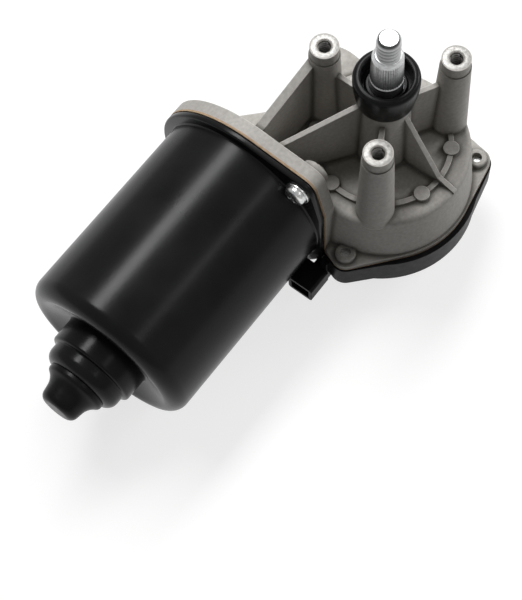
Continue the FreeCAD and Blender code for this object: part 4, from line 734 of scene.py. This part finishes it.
def pan_screw(radius, height, shank_radius, shank_length):
    """A head that faces +Z over a washer, with its cross recess cut by a tapered cross."""
    washer = 0.9 * MM
    crown_r = radius * 0.84
    bm = bmesh.new()
    corners, _ = profile_line(bm, [
        (0, -shank_length), (shank_radius, -shank_length), (shank_radius, 0), (radius, 0), (radius, washer),
        (crown_r, washer), (crown_r, height * 0.82), (crown_r * 0.45, height), (0, height)])
    round_corners(bm, corners[6:7], height * 0.34, 6)
    round_corners(bm, corners[3:5], 0.15 * MM, 3)
    spin_round(bm, 72)
    screw = bpy.data.meshes.new("screw")
    bm.to_mesh(screw)
    bm.free()
    arm, width = radius * 0.62, radius * 0.2
    cross = bmesh.new()
    for turn in (0, 90):
        made = bmesh.ops.create_cube(cross, size=1.0, matrix=Matrix.Rotation(math.radians(turn), 4, "Z")
                                     @ Matrix.Diagonal((2 * arm, width, height * 1.3, 1)))["verts"]
        low = [v for v in made if v.co.z < 0]
        bmesh.ops.scale(cross, verts=low, vec=(0.45, 0.45, 1))
        bmesh.ops.translate(cross, verts=made, vec=(0, 0, height * 0.98))
    cutter = bpy.data.meshes.new("cross")
    cross.to_mesh(cutter)
    cross.free()
    body = bpy.data.objects.new("screw", screw)
    tool = bpy.data.objects.new("cross", cutter)
    for part in (body, tool):
        bpy.context.scene.collection.objects.link(part)
    cut = body.modifiers.new("recess", "BOOLEAN")
    cut.object = tool
    cut.solver = "EXACT"
    cut.use_self = True
    bpy.context.view_layer.update()
    done = bpy.data.meshes.new_from_object(body.evaluated_get(bpy.context.evaluated_depsgraph_get()))
    for part in (body, tool):
        bpy.data.objects.remove(part)
    return done


def place_screws(name, head, node, places):
    """Sets one screw's mesh at each place as a single piece, and hides the frame's plain screws."""
    bm = bmesh.new()
    for place in places:
        before = len(bm.verts)
        bm.from_mesh(head)
        bm.verts.ensure_lookup_table()
        bmesh.ops.transform(bm, matrix=place, verts=bm.verts[before:])
    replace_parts(make_piece(name, bm, zinc_plate, "gearmotor"), node)


flange_places = []
for angle in EAR_ANGLES:
    y, z = ear_centre(angle)
    flange_places.append(Matrix.Translation((CAN_PLATE_FRONT, y, z))
                         @ Matrix.Rotation(math.radians(-90), 4, "Y")
                         @ Matrix.Rotation(FLANGE_CROSS_TURN, 4, "Z"))
flange_screw = pan_screw(FLANGE_HEAD_R, FLANGE_HEAD_HEIGHT, FLANGE_SHANK_R, FLANGE_SHANK_LENGTH)
place_screws("flange_pan_screws", flange_screw, "flange_screws", flange_places)

cover_places = []
for angle in COVER_SCREW_ANGLES:
    turn = math.radians(angle)
    spot = (COVER_SCREW_CIRCLE * math.cos(turn), COVER_SCREW_CIRCLE * math.sin(turn), COVER_HEAD_SEAT)
    cover_places.append(Matrix.Translation(spot) @ Matrix.Rotation(math.radians(180), 4, "X")
                        @ Matrix.Rotation(turn, 4, "Z"))
cover_screw = pan_screw(COVER_HEAD_R, COVER_HEAD_HEIGHT, COVER_SHANK_R, COVER_SHANK_LENGTH)
place_screws("cover_pan_screws", cover_screw, "cover_screws", cover_places)


# The gear cover and the connector's shroud are moulded in black glass-filled nylon with a satin, faintly
# mottled skin. The vehicle's plug pushes into the shroud from the motor's tail.
def nylon_finish():
    material, tree, shader = new_finish("black glass-filled nylon", (0.006, 0.006, 0.0065), 0.0, 0.42)
    tone = blend_colours(tree, object_noise(tree, 5 * MM, 6), (0.004, 0.004, 0.0045), (0.010, 0.010, 0.0105))
    shader.inputs["Specular IOR Level"].default_value = 0.1
    tree.links.new(tone, shader.inputs["Base Color"])
    spread_roughness(tree, shader, object_noise(tree, 2.6 * MM), 0.34, 0.52)
    raise_grain(tree, shader, object_noise(tree, 1.0 * MM, 4), 0.05 * MM, 0.6, soften_edges(tree, 0.5 * MM))
    return material


black_nylon = nylon_finish()
dress("gear_cover", black_nylon)
dress("connector_shell", black_nylon)


# The studio: the motor stands on a plain pale table. A long key lamp above and behind it draws the highlight
# along the can, with a side lamp on the right and a weak strip lamp in front. The sky is dim, and pale only
# where it is seen or reflected. The view is from above, with a long lens.
FLOOR_GAP = 0.2 * MM
TABLE_GLOW = 0.74
SKY_LIGHT = 0.05
SKY_IN_SIGHT = 0.5
VIEW_AZIMUTH = math.radians(-45.91)
VIEW_ELEVATION = math.radians(67.1)
VIEW_ROLL = math.radians(-6.86)
VIEW_DISTANCE = 517.4 * MM
VIEW_RIGHT = 43.75 * MM
VIEW_UP = 75.06 * MM
LENS = 88.9


def rays_in_sight(tree):
    """One for rays from the camera, a reflection or a clear piece, and nothing for all others."""
    ray = tree.nodes.new("ShaderNodeLightPath")
    seen = tree.nodes.new("ShaderNodeMath")
    passed = tree.nodes.new("ShaderNodeMath")
    seen.operation = passed.operation = "MAXIMUM"
    tree.links.new(ray.outputs["Is Camera Ray"], seen.inputs[0])
    tree.links.new(ray.outputs["Is Glossy Ray"], seen.inputs[1])
    tree.links.new(seen.outputs["Value"], passed.inputs[0])
    tree.links.new(ray.outputs["Is Transmission Ray"], passed.inputs[1])
    return passed.outputs["Value"]


floor_mesh = bpy.data.meshes.new("table_top")
table = bmesh.new()
bmesh.ops.create_grid(table, x_segments=1, y_segments=1, size=3.0,
                      matrix=Matrix.Translation((0, 0, cad_box[0][2] - FLOOR_GAP)))
table.to_mesh(floor_mesh)
table.free()
floor = bpy.data.objects.new("table_top", floor_mesh)
bpy.context.scene.collection.objects.link(floor)
table_finish, table_tree, table_shader = new_finish("pale table", (0.35, 0.35, 0.349), 0.0, 0.75)
glow = table_tree.nodes.new("ShaderNodeMath")
glow.operation = "MULTIPLY"
glow.inputs[1].default_value = TABLE_GLOW
table_tree.links.new(rays_in_sight(table_tree), glow.inputs[0])
table_shader.inputs["Emission Color"].default_value = (1, 1, 1, 1)
table_tree.links.new(glow.outputs["Value"], table_shader.inputs["Emission Strength"])
floor_mesh.materials.append(table_finish)

back = Vector((math.sin(VIEW_AZIMUTH) * math.cos(VIEW_ELEVATION),
               -math.cos(VIEW_AZIMUTH) * math.cos(VIEW_ELEVATION), math.sin(VIEW_ELEVATION)))
level = Vector((math.cos(VIEW_AZIMUTH), math.sin(VIEW_AZIMUTH), 0))
upright = back.cross(level)
right = level * math.cos(VIEW_ROLL) + upright * math.sin(VIEW_ROLL)
up = upright * math.cos(VIEW_ROLL) - level * math.sin(VIEW_ROLL)
lens = bpy.data.cameras.new("camera")
lens.lens = LENS
lens.sensor_width = 36
lens.sensor_fit = "AUTO"
lens.clip_start = 0.01
lens.clip_end = 20
camera = bpy.data.objects.new("camera", lens)
turn = Matrix((right, up, back)).transposed().to_4x4()
camera.matrix_world = Matrix.Translation(back * VIEW_DISTANCE - right * VIEW_RIGHT - up * VIEW_UP) @ turn
bpy.context.scene.collection.objects.link(camera)
bpy.context.scene.camera = camera


def soft_lamp(name, power, length, width, where, aim):
    """A rectangular lamp, its length along the motor, at a place given by right, up and back of the view."""
    light = bpy.data.lights.new(name, "AREA")
    light.shape = "RECTANGLE"
    light.size, light.size_y = length, width
    light.energy = power
    lamp = bpy.data.objects.new(name, light)
    spot = right * where[0] + up * where[1] + back * where[2]
    away = (spot - Vector(aim)).normalized()
    across = away.cross(Vector((1, 0, 0))).normalized()
    facing = Matrix((across.cross(away), across, away)).transposed().to_4x4()
    lamp.matrix_world = Matrix.Translation(spot) @ facing
    bpy.context.scene.collection.objects.link(lamp)


soft_lamp("key lamp", 15.0, 1.1, 0.3, (-0.25, 0.95, 0.75), (-0.04, 0.01, -0.05))
soft_lamp("side lamp", 6.0, 0.5, 0.5, (1.1, 0.75, 0.35), (-0.03, 0.01, -0.05))
soft_lamp("strip lamp", 1.2, 0.9, 0.12, (0.75, 0.2, 0.95), (-0.06, 0.02, -0.05))

sky = bpy.data.worlds.new("sky")
bpy.context.scene.world = sky
sky.use_nodes = True
sky.node_tree.nodes["Background"].inputs["Color"].default_value = (1, 1, 1, 1)
sky_level = sky.node_tree.nodes.new("ShaderNodeMapRange")
sky_level.inputs["To Min"].default_value = SKY_LIGHT
sky_level.inputs["To Max"].default_value = SKY_IN_SIGHT
sky.node_tree.links.new(rays_in_sight(sky.node_tree), sky_level.inputs["Value"])
sky.node_tree.links.new(sky_level.outputs["Result"], sky.node_tree.nodes["Background"].inputs["Strength"])
bpy.context.scene.view_settings.view_transform = "Standard"
